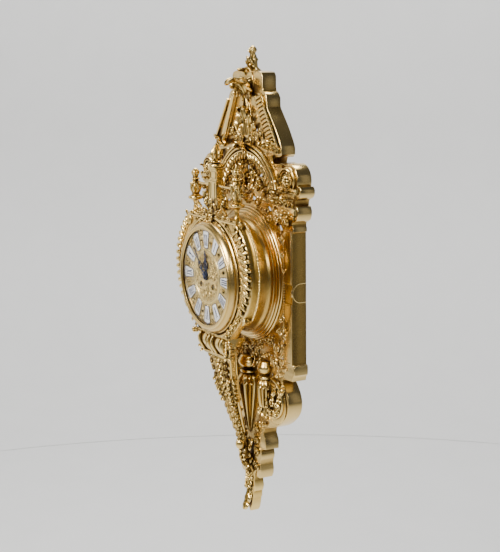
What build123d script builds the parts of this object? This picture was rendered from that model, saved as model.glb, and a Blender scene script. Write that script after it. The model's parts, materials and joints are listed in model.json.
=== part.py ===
from build123d import *
import os
from math import acos, atan2, cos, degrees, hypot, radians, sin, sqrt

# Cartel clock: a gilt wall clock with a glazed dial, a striking movement and a hidden pendulum.
# Millimetres. The front looks along -Y, the wall is the plane Y = 0 and up is +Z.
# Everything is drawn about the dial centre, then lowered so that the hanging hole is the origin.
hanging_height = 300.0          # hanging hole above the dial centre

# Back frame: a hollow casting, open towards the wall
frame_depth = 26.5
frame_wall = 3.5
frame_web = 3.0
shaft_half = 138.0              # half the width over the two straight side walls
shaft_top = 90.0
shaft_foot = -132.0
cap_neck_out = 8.0              # how far each member stands out past the shaft
cap_torus_out = 18.0
cap_cornice_out = 27.0
cap_neck_height = 16.0
cap_torus_height = 19.0
cap_frieze_height = 20.0
cap_cornice_height = 11.0
foot_mould_out = 5.0
foot_mould_height = 24.0
shoulder_scroll_radius = 22.5
lobe_radius = 40.0
lobe_in_from_shaft = 53.0       # lobe centre, inward from the shaft's side
gable_foot = 206.0
gable_foot_half = 106.0
gable_head = 334.0
gable_head_half = 47.0
gable_shoulder = 277.0
gable_neck_half = 82.0
tier_half = 46.0                # widest of the three stepped tiers under the lobes
tier_height = 30.0
tail_half = 30.0
tail_length = 34.0
window_gap = 6.0                # solid left round each pierced opening

# Drum and front mask
drum_bore = 92.0
drum_wall = 2.5
drum_length = 54.0
drum_seat = 10.0                # web left inside the drum, where the straps are screwed
drum_rings = ((19.5, 4.5), (15.5, 5.0), (11.5, 9.0))   # how far out and how tall, from the frame out
drum_screw_out = 7.5            # screw circle outside the drum's wall
mask_depth = 16.0
mask_over_drum = 3.5            # mask's straight top and foot past the drum's wall
mask_top_half = 84.0
mask_belly_half = 131.0
mask_belly_height = 12.0
mask_foot_half = 52.0
mask_hip = -58.0
mask_hip_half = 104.0
mask_bore = 80.0

# Dial, bezel and glass
dial_radius = 83.0
dial_thickness = 1.6
dial_forward = 10.15            # dial's face ahead of the mask's face
dial_ring_width = 4.0
disc_ring_radius = 45.0
disc_ring_width = 3.0
disc_ring_height = 0.8
plaque_inner = 49.0
plaque_outer = 78.0
plaque_inner_width = 11.0
plaque_outer_width = 18.0
plaque_thickness = 1.2
bezel_radius = 95.0
bezel_forward = 22.0
bezel_lip = 2.5                 # thickness of the lip in front of the glass's sight
bezel_sight = 80.0
bezel_back_gap = 0.7            # bezel's back clear of the mask
bezel_dial_gap = 1.6
glass_thickness = 2.0
glass_forward = 15.0            # glass's flange ahead of the mask's face
glass_rise = 12.0
glass_sight_gap = 0.4
hinge_pin_radius = 1.2
hinge_knuckle_radius = 2.2
hinge_half = 14.0
hinge_gap = 0.3                 # hinge knuckles clear of the mask

# Movement plates; levels between the plates are counted back from the front plate
plate_radius = 46.0
plate_thickness = 2.5
plate_gap = 30.0
plate_behind_mask = 0.5
pillar_radius = 2.2
pillar_circle = 41.5
pillar_angles = (-115.0, -65.0, 35.0, 165.0)
dial_foot_radius = 2.0
dial_foot_circle = 36.0
dial_foot_angles = (-90.0, 45.0, 135.0)
winding_hole_radius = 5.0
stud_radius = 1.0
lever_place = (-15.0, 12.0)
click_out = 5.5                 # click's stud outside the ratchet's teeth
ratchet_forward = 2.2           # ratchet wheels ahead of the front plate
ratchet_thickness = 1.4

# Wheel work
barrel_spacing = 41.0
barrel_drop = 14.0
barrel_teeth = 96
barrel_module = 0.41
barrel_drum_radius = 18.2
barrel_drum_wall = 1.2
barrel_arbor_radius = 3.0
second_pinion_teeth = 12
second_wheel_teeth = 72
second_module = 0.42
centre_pinion_teeth = 12
centre_wheel_teeth = 84
centre_module = 0.36
third_pinion_teeth = 7
third_wheel_teeth = 77
third_module = 0.34
escape_pinion_teeth = 7
escape_teeth = 35
escape_radius = 9.0
third_direction = 95.0
pin_pinion_teeth = 8
pin_wheel_teeth = 60
pin_module = 0.34
pin_direction = 116.0
warning_pinion_teeth = 6
warning_wheel_teeth = 54
warning_module = 0.30
warning_direction = 44.0
fly_pinion_teeth = 6
fly_direction = 43.0
lifting_pins = 10
pin_circle = 8.0
cannon_teeth = 12
minute_wheel_teeth = 36
minute_module = 0.50
minute_pinion_teeth = 10
hour_wheel_teeth = 40
hour_module = 0.48
arbor_radius = 0.5
centre_arbor_radius = 1.2
cannon_radius = 1.9
hour_pipe_radius = 3.0
running = 0.05                  # radial clearance of every turning fit
ratchet_teeth = 16
ratchet_radius = 7.0
anchor_distance = 12.7
wheel_thickness = 1.2

# Hands, as they stand at seven minutes to twelve
minute_hand_length = 60.0
hour_hand_length = 46.0
minute_hand_angle = -39.0
hour_hand_angle = -3.25
hand_thickness = 1.0
hand_lift = 2.0                 # hour hand above the dial, clear of the plaques
hand_gap = 0.8                  # minute hand above the hour hand

# Bell, hammer and pendulum
bell_radius = 30.0
bell_depth = 18.0
bell_wall = 2.0
bell_place = (-40.0, -28.0)
hammer_place = (-38.5, 19.5)
hammer_head_radius = 3.5
hammer_gap = 0.6
suspension_height = 30.0
pendulum_length = 151.0
pendulum_y = -12.5
pendulum_rod_radius = 1.2
bob_radius = 24.0
bob_thickness = 9.0
crutch_drop = 53.0
crutch_pin_radius = 0.9
escape_depth = 21.5             # escape wheel's face behind the front plate
bell_behind = 5.0               # rear of the back plate to the bell, the hammer arm and the crutch
bell_post_radius = 2.0
hammer_arm_behind = 5.6
crutch_behind = 3.4
pivot_bar_behind = 7.0
pivot_bar_thickness = 2.4
count_wheel_behind = 0.7

# Ornament and hanging hardware
relief = 7.5                    # how far the gable and scroll castings stand off the frame
arch_radius = 105.0
arch_band = 27.0
arch_centre = 113.0
arch_spring = 150.0
term_in_from_lobe = 27.0        # side half balusters, inward from the scroll's centre
pinnacle_behind = 10.5          # pier's middle behind the mask's face
pinnacle_top = 222.0
turret_x = 72.0
turret_behind = 8.5
turret_top = 194.0
console_depth = 18.0
drop_depth = 12.0
# Under the mask's foot: fall, share of the way out from the frame to the mask's face, half width
console_run = ((0.0, 1.0, 50.0), (28.0, 0.94, 44.0), (63.0, 0.87, 34.0), (92.0, 0.74, 24.0),
               (112.0, 0.68, 17.0))
drop_run = ((137.0, 0.54, 10.0), (164.0, 0.42, 6.0), (202.0, 0.28, 6.0), (226.0, 0.19, 9.0))
drop_ball_fall = 199.0
drop_ball_radius = 8.0
hanger_thickness = 3.0
hanger_half = 38.0
hanger_hole_radius = 4.5
screw_radius = 1.8
screw_head_radius = 3.6
screw_head_height = 2.0

# Places worked out from the sizes above
web_front = -frame_depth
web_back = web_front + frame_web
mask_back = web_front - drum_length
mask_front = mask_back - mask_depth
drum_outer = drum_bore + drum_wall
mask_top = drum_outer + mask_over_drum
mask_foot = -mask_top
dial_front = mask_front - dial_forward
bezel_front = mask_front - bezel_forward
bezel_seat = mask_front - bezel_back_gap
glass_seat = mask_front - glass_forward
hinge_x = -(bezel_radius + hinge_knuckle_radius)
hinge_y = mask_front - hinge_knuckle_radius - hinge_gap
hour_hand_near = dial_front - hand_lift - hand_thickness
minute_hand_seat = hour_hand_near - hand_gap - hand_thickness
pinnacle_y = mask_front + pinnacle_behind
turret_y = mask_front + turret_behind
front_plate_near = mask_front + plate_behind_mask
front_plate_far = front_plate_near + plate_thickness
back_plate_near = front_plate_far + plate_gap
back_plate_far = back_plate_near + plate_thickness
dial_back = dial_front + dial_thickness
ratchet_near = front_plate_near - ratchet_forward
escape_level = front_plate_far + escape_depth
count_wheel_near = back_plate_far + count_wheel_behind
bell_near = back_plate_far + bell_behind
going_barrel_place = (barrel_spacing / 2, -barrel_drop)
strike_barrel_place = (-barrel_spacing / 2, -barrel_drop)
frieze_bottom = shaft_top + cap_neck_height + cap_torus_height
cornice_bottom = frieze_bottom + cap_frieze_height
cornice_top = cornice_bottom + cap_cornice_height
shoulder_place = (shaft_half - 5.0, cornice_top + shoulder_scroll_radius - 11.0)
foot_bottom = shaft_foot - foot_mould_height
lobe_place = (shaft_half - lobe_in_from_shaft, foot_bottom + 7.0 - 57.0)
lobe_bottom = lobe_place[1] - lobe_radius
tail_bottom = lobe_bottom - 11.0 - 2 * tier_height - tail_length


def level(depth):
    """Y of a depth counted back from the front plate's rear face."""
    return front_plate_far + depth


def ahead(distance):
    """Y of a distance in front of the movement's front plate."""
    return front_plate_near - distance


def front_plane(y):
    """Plane seen from the front: its x is X and its y is Z."""
    return Plane(origin=(0, y, 0), x_dir=(1, 0, 0), z_dir=(0, -1, 0))


def slab(outline, near, far):
    """Solid with the outline seen from the front, between two Y levels."""
    return extrude(front_plane(far) * outline, amount=far - near, dir=(0, -1, 0))


def rod(place, radius, near, far):
    """Round bar along Y."""
    return slab(Pos(*place) * Circle(radius), near, far)


def turned(points, place=(0, 0)):
    """Solid turned about a line along Y; each point is (radius, y)."""
    return Pos(place[0], 0, place[1]) * revolve(Polygon(*points, align=None), axis=Axis.Y)


def upright_turned(points, x, y):
    """Solid turned about a vertical line; each point is (radius, z)."""
    outline = Plane.XZ * Polygon(*points, align=None)
    return Pos(x, y, 0) * revolve(outline, axis=Axis.Z)


def shape_of(points):
    """Closed outline through the points, always drawn anticlockwise."""
    following = points[1:] + points[:1]
    area = sum(a[0] * b[1] - b[0] * a[1] for a, b in zip(points, following))
    return Polygon(*(points if area > 0 else points[::-1]), align=None)


def both_sides(right_points):
    """Closed outline from its right-hand points, top to bottom, and their mirror images."""
    left_points = [(-x, z) for x, z in reversed(right_points) if x > 0]
    return shape_of(right_points + left_points)


def block(half_width, bottom, top):
    """Rectangle centred on the middle line."""
    return Pos(0, (bottom + top) / 2) * Rectangle(2 * half_width, top - bottom)


def around(radius, angle, centre=(0, 0)):
    """Point at an angle, counted in degrees anticlockwise from +X, seen from the front."""
    return centre[0] + radius * cos(radians(angle)), centre[1] + radius * sin(radians(angle))


def mesh_distance(teeth, mate_teeth, module):
    return module * (teeth + mate_teeth) / 2


def meeting_place(first, first_distance, second, second_distance, side):
    """Where an arbor stands that meshes with wheels at two places."""
    span = hypot(second[0] - first[0], second[1] - first[1])
    along = (first_distance ** 2 - second_distance ** 2 + span ** 2) / (2 * span)
    heading = degrees(atan2(second[1] - first[1], second[0] - first[0]))
    return around(first_distance, heading + side * degrees(acos(along / first_distance)), first)


# Where each arbor stands, from the tooth counts and modules
centre_place = (0.0, 0.0)
barrel_to_second = mesh_distance(barrel_teeth, second_pinion_teeth, barrel_module)
second_to_centre = mesh_distance(second_wheel_teeth, centre_pinion_teeth, second_module)
second_place = meeting_place(centre_place, second_to_centre, going_barrel_place, barrel_to_second, 1)
strike_second_place = (-second_place[0], second_place[1])
third_place = around(mesh_distance(centre_wheel_teeth, third_pinion_teeth, centre_module), third_direction)
escape_rise = sqrt(mesh_distance(third_wheel_teeth, escape_pinion_teeth, third_module) ** 2
                   - third_place[0] ** 2)
escape_place = (0.0, third_place[1] + escape_rise)
anchor_place = (0.0, escape_place[1] + anchor_distance)
pin_place = around(mesh_distance(second_wheel_teeth, pin_pinion_teeth, second_module), pin_direction,
                   strike_second_place)
warning_place = around(mesh_distance(pin_wheel_teeth, warning_pinion_teeth, pin_module),
                       warning_direction, pin_place)
fly_place = around(mesh_distance(warning_wheel_teeth, fly_pinion_teeth, warning_module),
                   fly_direction, warning_place)
minute_place = (0.0, mesh_distance(cannon_teeth, minute_wheel_teeth, minute_module))
bob_height = suspension_height - pendulum_length


def heading(own, mate):
    return degrees(atan2(mate[1] - own[1], mate[0] - own[0]))


def toothing(teeth, module, own, mate, gap_to_mate):
    """Toothed outline; either a tooth or a gap points at the mating arbor."""
    pitch_radius = module * teeth / 2
    few_leaves = teeth < 12
    tip = pitch_radius + (0.50 if few_leaves else 0.70) * module
    root = pitch_radius - 1.15 * module
    step = 360 / teeth
    root_share, tip_share = (0.18, 0.06) if few_leaves else (0.21, 0.09)
    start = heading(own, mate) + (step / 2 if gap_to_mate else 0)
    points = []
    for tooth in range(teeth):
        middle = start + tooth * step
        points.append(around(root, middle - root_share * step))
        points.append(around(tip, middle - tip_share * step))
        points.append(around(tip, middle + tip_share * step))
        points.append(around(root, middle + root_share * step))
    return Pos(*own) * Polygon(*points, align=None)


def crossed_out(outline, place, rim_inner, hub, spokes):
    """Cut the windows of a wheel, leaving its rim, hub and spokes."""
    spoke_width = 1.6
    windows = Circle(rim_inner) - Circle(hub)
    for spoke in range(spokes):
        arm = Pos(rim_inner / 2, 0) * Rectangle(rim_inner, spoke_width)
        windows -= Rot(0, 0, spoke * 360 / spokes + 45) * arm
    return outline - Pos(*place) * windows


def train_wheel(teeth, module, own, mate, near):
    """Brass wheel with five spokes."""
    rim_inner = module * teeth / 2 - 1.15 * module - 1.4
    outline = crossed_out(toothing(teeth, module, own, mate, False), own, rim_inner, 2.4, 5)
    return slab(outline, near, near + wheel_thickness)


def pinion(teeth, module, own, mate, near, far):
    return slab(toothing(teeth, module, own, mate, True), near, far)


def pivoted_arbor(place, radius=arbor_radius):
    """Arbor whose ends run in both plates."""
    return rod(place, radius, front_plate_near + 0.3, back_plate_far - 0.3)


# Case

def frame_members():
    """Half width, bottom and top of each straight member of the back frame."""
    gable = [(0, gable_head), (gable_head_half, gable_head - 4), (gable_head_half, gable_head - 25),
             (gable_head_half + 10, gable_shoulder + 16), (gable_head_half + 15, gable_shoulder),
             (gable_foot_half, gable_foot + 10), (gable_foot_half, gable_foot), (0, gable_foot)]
    members = [(gable_neck_half, cornice_top - 4, gable_foot + 4),
               (shoulder_place[0], cornice_bottom, shoulder_place[1]),
               (shaft_half + cap_cornice_out, cornice_bottom, cornice_top),
               (shaft_half + cap_neck_out, frieze_bottom, cornice_bottom),
               (shaft_half + cap_torus_out, shaft_top + cap_neck_height, frieze_bottom),
               (shaft_half + 2, shaft_top, shaft_top + cap_neck_height),
               (shaft_half, shaft_foot, shaft_top),
               (shaft_half + foot_mould_out, foot_bottom, shaft_foot),
               (lobe_place[0] + 22, lobe_place[1], foot_bottom),
               (lobe_place[0], lobe_bottom + 12, lobe_place[1]),
               (tier_half - 2, lobe_bottom - 22, lobe_bottom + 12),
               (tier_half + 2, lobe_bottom - 22 - 0.6 * tier_height, lobe_bottom - 22),
               (tail_half + 3, tail_bottom + 14, lobe_bottom - 22 - 0.6 * tier_height),
               (tail_half, tail_bottom, tail_bottom + 14)]
    return gable, members


def frame_silhouette(inset):
    """The frame seen from the front, shrunk all round by the inset."""
    gable, members = frame_members()
    shape = offset(both_sides(gable), amount=-inset, kind=Kind.INTERSECTION) if inset else both_sides(gable)
    for half_width, bottom, top in members:
        shape += block(half_width - inset, bottom - 0.5, top + 0.5)
    for side in (-1, 1):
        shape += Pos(side * shoulder_place[0], shoulder_place[1]) * Circle(shoulder_scroll_radius - inset)
        shape += Pos(side * lobe_place[0], lobe_place[1]) * Circle(lobe_radius - inset)
    floor = tail_bottom + inset
    ceiling = gable_head - inset
    limit = block(shaft_half + cap_cornice_out, floor, ceiling)
    return shape & limit


def pierced_windows():
    """Openings that the cast foliage leaves in the web."""
    window_half = (shaft_half - drum_bore - drum_wall) / 2 - window_gap
    windows = Sketch()
    for side in (-1, 1):
        for rise in (0.62, 0.78, 0.94):
            windows += Pos(side * (shaft_half - 22), rise * shaft_top) * Circle(window_half * 0.42)
        for drop in (0.62, 0.78, 0.94):
            windows += Pos(side * (shaft_half - 26), drop * shaft_foot) * Circle(window_half * 0.55)
        windows += Pos(side * 42, arch_spring + 12) * Ellipse(10, 22)
        windows += Pos(side * 92, cornice_bottom - 24) * Ellipse(12, 9)
    return windows + Pos(0, arch_spring + 18) * Ellipse(9, 22)


def side_boss():
    """Round-ended boss on the outside of the right-hand wall."""
    length = 16.5
    height = 5.0
    face = Plane(origin=(shaft_half, -frame_depth / 2, -15.0), x_dir=(0, 1, 0), z_dir=(1, 0, 0))
    return extrude(face * SlotOverall(frame_depth - 2, length), amount=height)


def screw_places():
    """Four screws hold the drum to the web, two hold the hanger plate to its posts."""
    drum_screws = [around(drum_outer + drum_screw_out, angle) for angle in (45, 135, 225, 315)]
    hanger_screws = [(side * (hanger_half - 8), hanging_height) for side in (-1, 1)]
    return drum_screws, hanger_screws


def back_frame():
    body = slab(frame_silhouette(0), web_front, 0) - slab(frame_silhouette(frame_wall), web_back, 0)
    body -= slab(Circle(drum_bore - drum_seat), web_front, 0)
    body -= slab(pierced_windows(), web_front, web_back)
    drum_screws, hanger_screws = screw_places()
    for place in drum_screws:
        body -= rod(place, screw_radius, web_front, web_back)
    for place in hanger_screws:
        body += rod(place, screw_head_radius + 1, web_back, -hanger_thickness)
        body -= rod(place, screw_radius, -hanger_thickness - 8, -hanger_thickness)
    boss = side_boss()
    return body + boss + mirror(boss, about=Plane.YZ)


def gable_rake(side):
    """Gadrooned moulding along one slope of the gable."""
    outer_foot = gable_foot_half - 1
    band = 21.0
    points = [(8, gable_head - 34), (24, gable_head - 34), (gable_head_half + 15, gable_shoulder),
              (outer_foot, gable_foot + 10), (outer_foot, gable_foot + 1), (outer_foot - band, gable_foot + 1)]
    return slab(shape_of([(side * x, z) for x, z in points]), web_front - relief, web_front)


def tympanum_crest():
    """Leaf crown between the rakes."""
    top = gable_head - 40
    points = [(0, top), (9, top - 14), (20, top - 40), (38, top - 62), (30, top - 70), (0, top - 66)]
    return slab(both_sides(points), web_front - relief, web_front)


def apex_finial():
    """Acanthus at the head of the gable, with the spire that rises out of it."""
    leaf_foot = gable_head - 33
    leaf = slab(both_sides([(0, gable_head + 11), (20, gable_head + 4), (30, gable_head - 16), (16, leaf_foot),
                            (0, leaf_foot)]),
                web_front - 6, web_front)
    spire_y = -9.0
    spire = upright_turned([(0, gable_head), (15, gable_head), (13, gable_head + 5), (9, gable_head + 9),
                            (11, gable_head + 22), (7, gable_head + 30), (9, gable_head + 34),
                            (0, gable_head + 45)], 0, spire_y)
    flat_back = Pos(0, 10, gable_head + 25) * Box(60, 20, 60)
    neck = Pos(0, -20.5, gable_head + 4) * Box(16, 19, 8)
    return leaf + neck + (spire - flat_back)


def arch_surround():
    """Moulded arch over the pierced foliage."""
    ring = Circle(arch_radius) - Circle(arch_radius - arch_band)
    top = arch_centre + arch_radius
    above_spring = Pos(0, (arch_spring + top) / 2) * Rectangle(2 * arch_radius, top - arch_spring)
    outline = (Pos(0, arch_centre) * ring) & above_spring
    under_rakes = slab(outline, web_front - relief, web_front)
    for side in (-1, 1):
        under_rakes -= gable_rake(side)
    return under_rakes - tympanum_crest()


def shoulder(side):
    """Volute, cornice and capital at one side of the frame."""
    capital = [(shaft_half - 22, shaft_half + cap_cornice_out - 1, cornice_bottom, cornice_top, 5.0),
               (shaft_half - 16, shaft_half + cap_neck_out, frieze_bottom, cornice_bottom, 3.0),
               (shaft_half - 20, shaft_half + cap_torus_out, shaft_top + cap_neck_height, frieze_bottom, 6.0)]
    body = rod((side * shoulder_place[0], shoulder_place[1]), shoulder_scroll_radius - 1,
               web_front - relief, web_front)
    for inner, outer, bottom, top, stand in capital:
        face = Pos(side * (inner + outer) / 2, (bottom + top) / 2) * Rectangle(outer - inner, top - bottom)
        body += slab(face, web_front - stand, web_front)
    return body - arch_surround()


def base_scrolls():
    """The two large scrolls under the side walls."""
    scrolls = []
    for side in (-1, 1):
        place = (side * lobe_place[0], lobe_place[1])
        body = rod(place, lobe_radius - 1, web_front - relief * 0.6, web_front)
        body += rod(place, lobe_radius * 0.6, web_front - relief, web_front)
        scrolls.append(body)
    return Compound(children=scrolls)


def half_baluster(x, foot):
    """Half baluster standing off the web: bulb, collar and a shaft that tapers to its foot."""
    top = foot_bottom + 14
    profile = [(0, top), (9, top), (15, top - 10), (10, top - 24), (14, top - 30), (13, top - 60), (5, foot),
               (0, foot)]
    behind = Pos(0, 100 + web_front, 0) * Box(400, 200, 1200)
    return upright_turned(profile, x, web_front - 3) - behind


def reeded_terms():
    """Three reeded half balusters behind the console; the outer two stand on the scrolls."""
    outer_x = lobe_place[0] - term_in_from_lobe
    outer_foot = lobe_place[1] - 26
    terms = [half_baluster(-outer_x, outer_foot), half_baluster(0, lobe_bottom - 8),
             half_baluster(outer_x, outer_foot)]
    scrolls = base_scrolls()
    return Compound(children=[term - scrolls for term in terms])


def lower_pendant():
    """Leaf pendant that closes the foot of the frame."""
    top = tail_bottom + 26
    face = slab(both_sides([(0, top), (17, top), (22, top - 16), (17, tail_bottom + 2), (14, tail_bottom - 22),
                            (9, tail_bottom - 44), (0, tail_bottom - 72)]), web_front - 5, web_front)
    backing = slab(both_sides([(0, tail_bottom), (16, tail_bottom), (13, tail_bottom - 22),
                               (8, tail_bottom - 44), (0, tail_bottom - 66)]), web_front, web_front + 16)
    return face + backing


def drum():
    """Cylinder that holds the movement, with the rings where it meets the frame."""
    points = [(drum_bore, web_front)]
    y = web_front
    for out, height in drum_rings:
        points.append((drum_outer + out, y))
        y -= height
        points.append((drum_outer + out, y))
    points += [(drum_outer, y), (drum_outer, mask_back), (drum_bore, mask_back)]
    body = turned(points)
    drum_screws, _ = screw_places()
    for place in drum_screws:
        body -= rod(place, screw_radius, web_front - 7, web_front)
    return body


def mask_outline():
    right = ThreePointArc((mask_top_half, mask_top), (mask_belly_half, mask_belly_height),
                          (mask_hip_half, mask_hip))
    left = mirror(right, about=Plane.YZ)
    edges = [right, Line((mask_hip_half, mask_hip), (mask_foot_half, mask_foot)),
             Line((mask_foot_half, mask_foot), (-mask_foot_half, mask_foot)),
             Line((-mask_foot_half, mask_foot), (-mask_hip_half, mask_hip)), left,
             Line((-mask_top_half, mask_top), (mask_top_half, mask_top))]
    return make_face(Curve() + edges)


def front_mask():
    """Front of the drum: two bellied wings and the knuckles that hold the bezel pin."""
    body = slab(mask_outline() - Circle(mask_bore), mask_front, mask_back)
    for end in (-1, 1):
        middle = end * hinge_half * 0.75
        knuckle = Cylinder(hinge_knuckle_radius, hinge_half * 0.5)
        foot = Pos(-hinge_knuckle_radius / 2, hinge_knuckle_radius) * Box(
            hinge_knuckle_radius, 2 * hinge_knuckle_radius, hinge_half * 0.5)
        body += Pos(hinge_x, hinge_y, middle) * (knuckle + foot)
    return body - Pos(hinge_x, hinge_y, 0) * Cylinder(hinge_pin_radius, 2 * hinge_half)


def bezel_hinge_pin():
    head = Pos(0, 0, hinge_half + 0.8) * Cylinder(hinge_knuckle_radius, 1.6)
    return Pos(hinge_x, hinge_y, 0) * (Cylinder(hinge_pin_radius, 2 * hinge_half) + head)


def centre_pinnacle():
    """Square pier over the dial, with its skirt, cap and flame."""
    skirt = extrude(Pos(0, pinnacle_y, mask_top) * Rectangle(52, 20), amount=86, taper=11)
    pier = Pos(0, pinnacle_y, mask_top + 60) * Box(17, 17, 56)
    cap_levels = ((13, mask_top + 84, 6), (10, mask_top + 96, 5))
    body = (skirt & Pos(0, pinnacle_y, mask_top + 20) * Box(60, 24, 40)) + pier
    for half, middle, height in cap_levels:
        body += Pos(0, pinnacle_y, middle) * Box(2 * half, 2 * half, height)
    flame = upright_turned([(0, mask_top + 86), (8, mask_top + 86), (9, mask_top + 100), (5, mask_top + 110),
                            (0, pinnacle_top)], 0, pinnacle_y)
    return body + flame


def turret(side):
    """Baluster standing on the shoulder of the mask."""
    disc = mask_top + 29
    profile = [(0, mask_top), (7, mask_top), (4, mask_top + 10), (5, disc - 4), (12, disc - 2), (12, disc + 2),
               (7, disc + 5), (9, disc + 22), (5, disc + 34), (8, disc + 44), (3, disc + 54), (0, turret_top)]
    return upright_turned(profile, side * turret_x, turret_y)


def tapered_run(stations, depth):
    """Solid lofted through rectangles under the mask's foot, each given as in console_run."""
    sections = []
    for fall, share, half in stations:
        front = web_front + share * (mask_front - web_front)
        sections.append(Pos(0, front + depth / 2, mask_foot - fall) * Rectangle(2 * half, depth))
    return loft(sections, ruled=True)


def console():
    """Tapering bracket under the dial, with a tassel at each side."""
    body = tapered_run(console_run, console_depth)
    profile = [(0, mask_foot + 8), (8, mask_foot + 8), (11, mask_foot - 8), (6, mask_foot - 22),
               (0, mask_foot - 32)]
    for side in (-1, 1):
        body += upright_turned(profile, side * (mask_foot_half - 4), mask_front + 9)
    return body - front_mask()


def lower_drop():
    """Leaf drop, stem and ball that carry the console back to the frame."""
    body = tapered_run(console_run[-1:] + drop_run, drop_depth)
    ball_y = web_front + 0.22 * (mask_front - web_front)
    body += Pos(0, ball_y, mask_foot - drop_ball_fall) * Sphere(drop_ball_radius)
    foot_fall, foot_share, _ = drop_run[-1]
    link_front = web_front + foot_share * (mask_front - web_front) + 4
    link = Box(12, web_front - link_front, 10, align=(Align.CENTER, Align.MIN, Align.MIN))
    return body + Pos(0, link_front, mask_foot - foot_fall) * link - lower_pendant()


def hanger_plate():
    outline = Rectangle(2 * hanger_half, 22) - Circle(hanger_hole_radius)
    body = slab(Pos(0, hanging_height) * outline, -hanger_thickness, 0)
    _, hanger_screws = screw_places()
    for place in hanger_screws:
        body -= rod(place, screw_head_radius + 0.1, -screw_head_height, 0)
        body -= rod(place, screw_radius, -hanger_thickness, 0)
    return body


def case_screws():
    """Screws of the drum and of the hanger plate."""
    drum_screws, hanger_screws = screw_places()
    screws = [rod(place, screw_radius, web_front - 7, web_back)
              + rod(place, screw_head_radius, web_back, web_back + screw_head_height) for place in drum_screws]
    screws += [rod(place, screw_radius, -hanger_thickness - 8, -screw_head_height)
               + rod(place, screw_head_radius, -screw_head_height, 0) for place in hanger_screws]
    return Compound(children=screws)


# Dial and bezel

def dial_plate():
    disc = Circle(dial_radius) - Circle(hour_pipe_radius + 0.5)
    for place in (going_barrel_place, strike_barrel_place):
        disc -= Pos(*place) * Circle(winding_hole_radius)
    raised = Circle(disc_ring_radius) - Circle(disc_ring_radius - disc_ring_width)
    body = slab(disc, dial_front, dial_back) + slab(raised, dial_front - disc_ring_height, dial_front)
    for angle in dial_foot_angles:
        body += rod(around(dial_foot_circle, angle), dial_foot_radius, dial_back, front_plate_near)
    return body


def numeral_plaques():
    """Twelve enamel plaques, wider outward."""
    half_in = plaque_inner_width / 2
    half_out = plaque_outer_width / 2
    shape = Polygon((-half_in, plaque_inner), (half_in, plaque_inner), (half_out, plaque_outer - 3),
                    (0, plaque_outer), (-half_out, plaque_outer - 3), align=None)
    plaques = [slab(Rot(0, 0, -30 * hour) * shape, dial_front - plaque_thickness, dial_front)
               for hour in range(12)]
    return Compound(children=plaques)


def dial_ring():
    """Ring that stands the dial off the mask."""
    return slab(Circle(dial_radius) - Circle(dial_radius - dial_ring_width), dial_back, mask_front)


def bezel_ring():
    inner = dial_radius + bezel_dial_gap
    profile = [(inner, bezel_seat), (bezel_radius, bezel_seat), (bezel_radius, bezel_seat - 4),
               (bezel_radius - 2, bezel_seat - 6), (bezel_radius - 2, bezel_seat - 12),
               (bezel_radius - 6, bezel_front + 1.5), (bezel_radius - 10, bezel_front),
               (bezel_sight, bezel_front + bezel_lip), (bezel_sight, glass_seat), (inner, glass_seat)]
    body = turned(profile)
    knuckle_length = hinge_half - 0.4
    knuckle = Cylinder(hinge_knuckle_radius, knuckle_length)
    leaf = Pos(hinge_knuckle_radius + 1, -hinge_knuckle_radius / 2) * Box(
        2 * hinge_knuckle_radius + 2, hinge_knuckle_radius, knuckle_length)
    hinge = Pos(hinge_x, hinge_y, 0) * (knuckle + leaf)
    hinge -= Pos(hinge_x, hinge_y, 0) * Cylinder(hinge_pin_radius + running, 2 * hinge_half)
    hinge -= slab(Circle(bezel_radius - 1), bezel_front, mask_front)
    return body + hinge


def glass():
    """Domed glass seated behind the lip of the bezel."""
    rim = dial_radius + bezel_dial_gap
    sight = bezel_sight - glass_sight_gap
    front = glass_seat
    back = front + glass_thickness
    ball = (sight ** 2 + glass_rise ** 2) / (2 * glass_rise)
    half = sight / 2
    fall = ball - sqrt(ball ** 2 - half ** 2)
    outer = ThreePointArc((sight, front), (half, front - glass_rise + fall), (0, front - glass_rise))
    inner = ThreePointArc((0, back - glass_rise), (half, back - glass_rise + fall), (sight, back))
    edges = [Line((rim, back), (rim, front)), Line((rim, front), (sight, front)), outer,
             Line((0, front - glass_rise), (0, back - glass_rise)), inner, Line((sight, back), (rim, back))]
    return revolve(make_face(Curve() + edges), axis=Axis.Y)


def hand_outline(length, hub, width):
    """Pierced hand pointing up: a hub, a tapering stem and a leaf-shaped eye."""
    stem = Polygon((-width * 0.3, 0), (width * 0.3, 0), (0.4, length), (-0.4, length), align=None)
    eye = Pos(0, length * 0.55) * (Ellipse(width, length * 0.17) - Ellipse(width * 0.5, length * 0.09))
    return Circle(hub) + stem + eye


def minute_hand():
    near = minute_hand_seat
    outline = Rot(0, 0, -minute_hand_angle) * hand_outline(minute_hand_length, 4.0, 3.6)
    cap = rod(centre_place, 2.8, near - 2.0, near)
    return slab(outline - Circle(cannon_radius), near, near + hand_thickness) + cap


def hour_hand():
    outline = Rot(0, 0, -hour_hand_angle) * hand_outline(hour_hand_length, 5.2, 5.5)
    return slab(outline - Circle(hour_pipe_radius), hour_hand_near, hour_hand_near + hand_thickness)


# Movement

def plate_bores():
    """Every arbor that runs in the plates, with its radius."""
    fine = (second_place, strike_second_place, third_place, escape_place, pin_place, warning_place,
            fly_place, hammer_place)
    bores = [(place, arbor_radius + running) for place in fine]
    bores.append((centre_place, centre_arbor_radius + running))
    bores += [(place, barrel_arbor_radius + running) for place in (going_barrel_place, strike_barrel_place)]
    return bores


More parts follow.
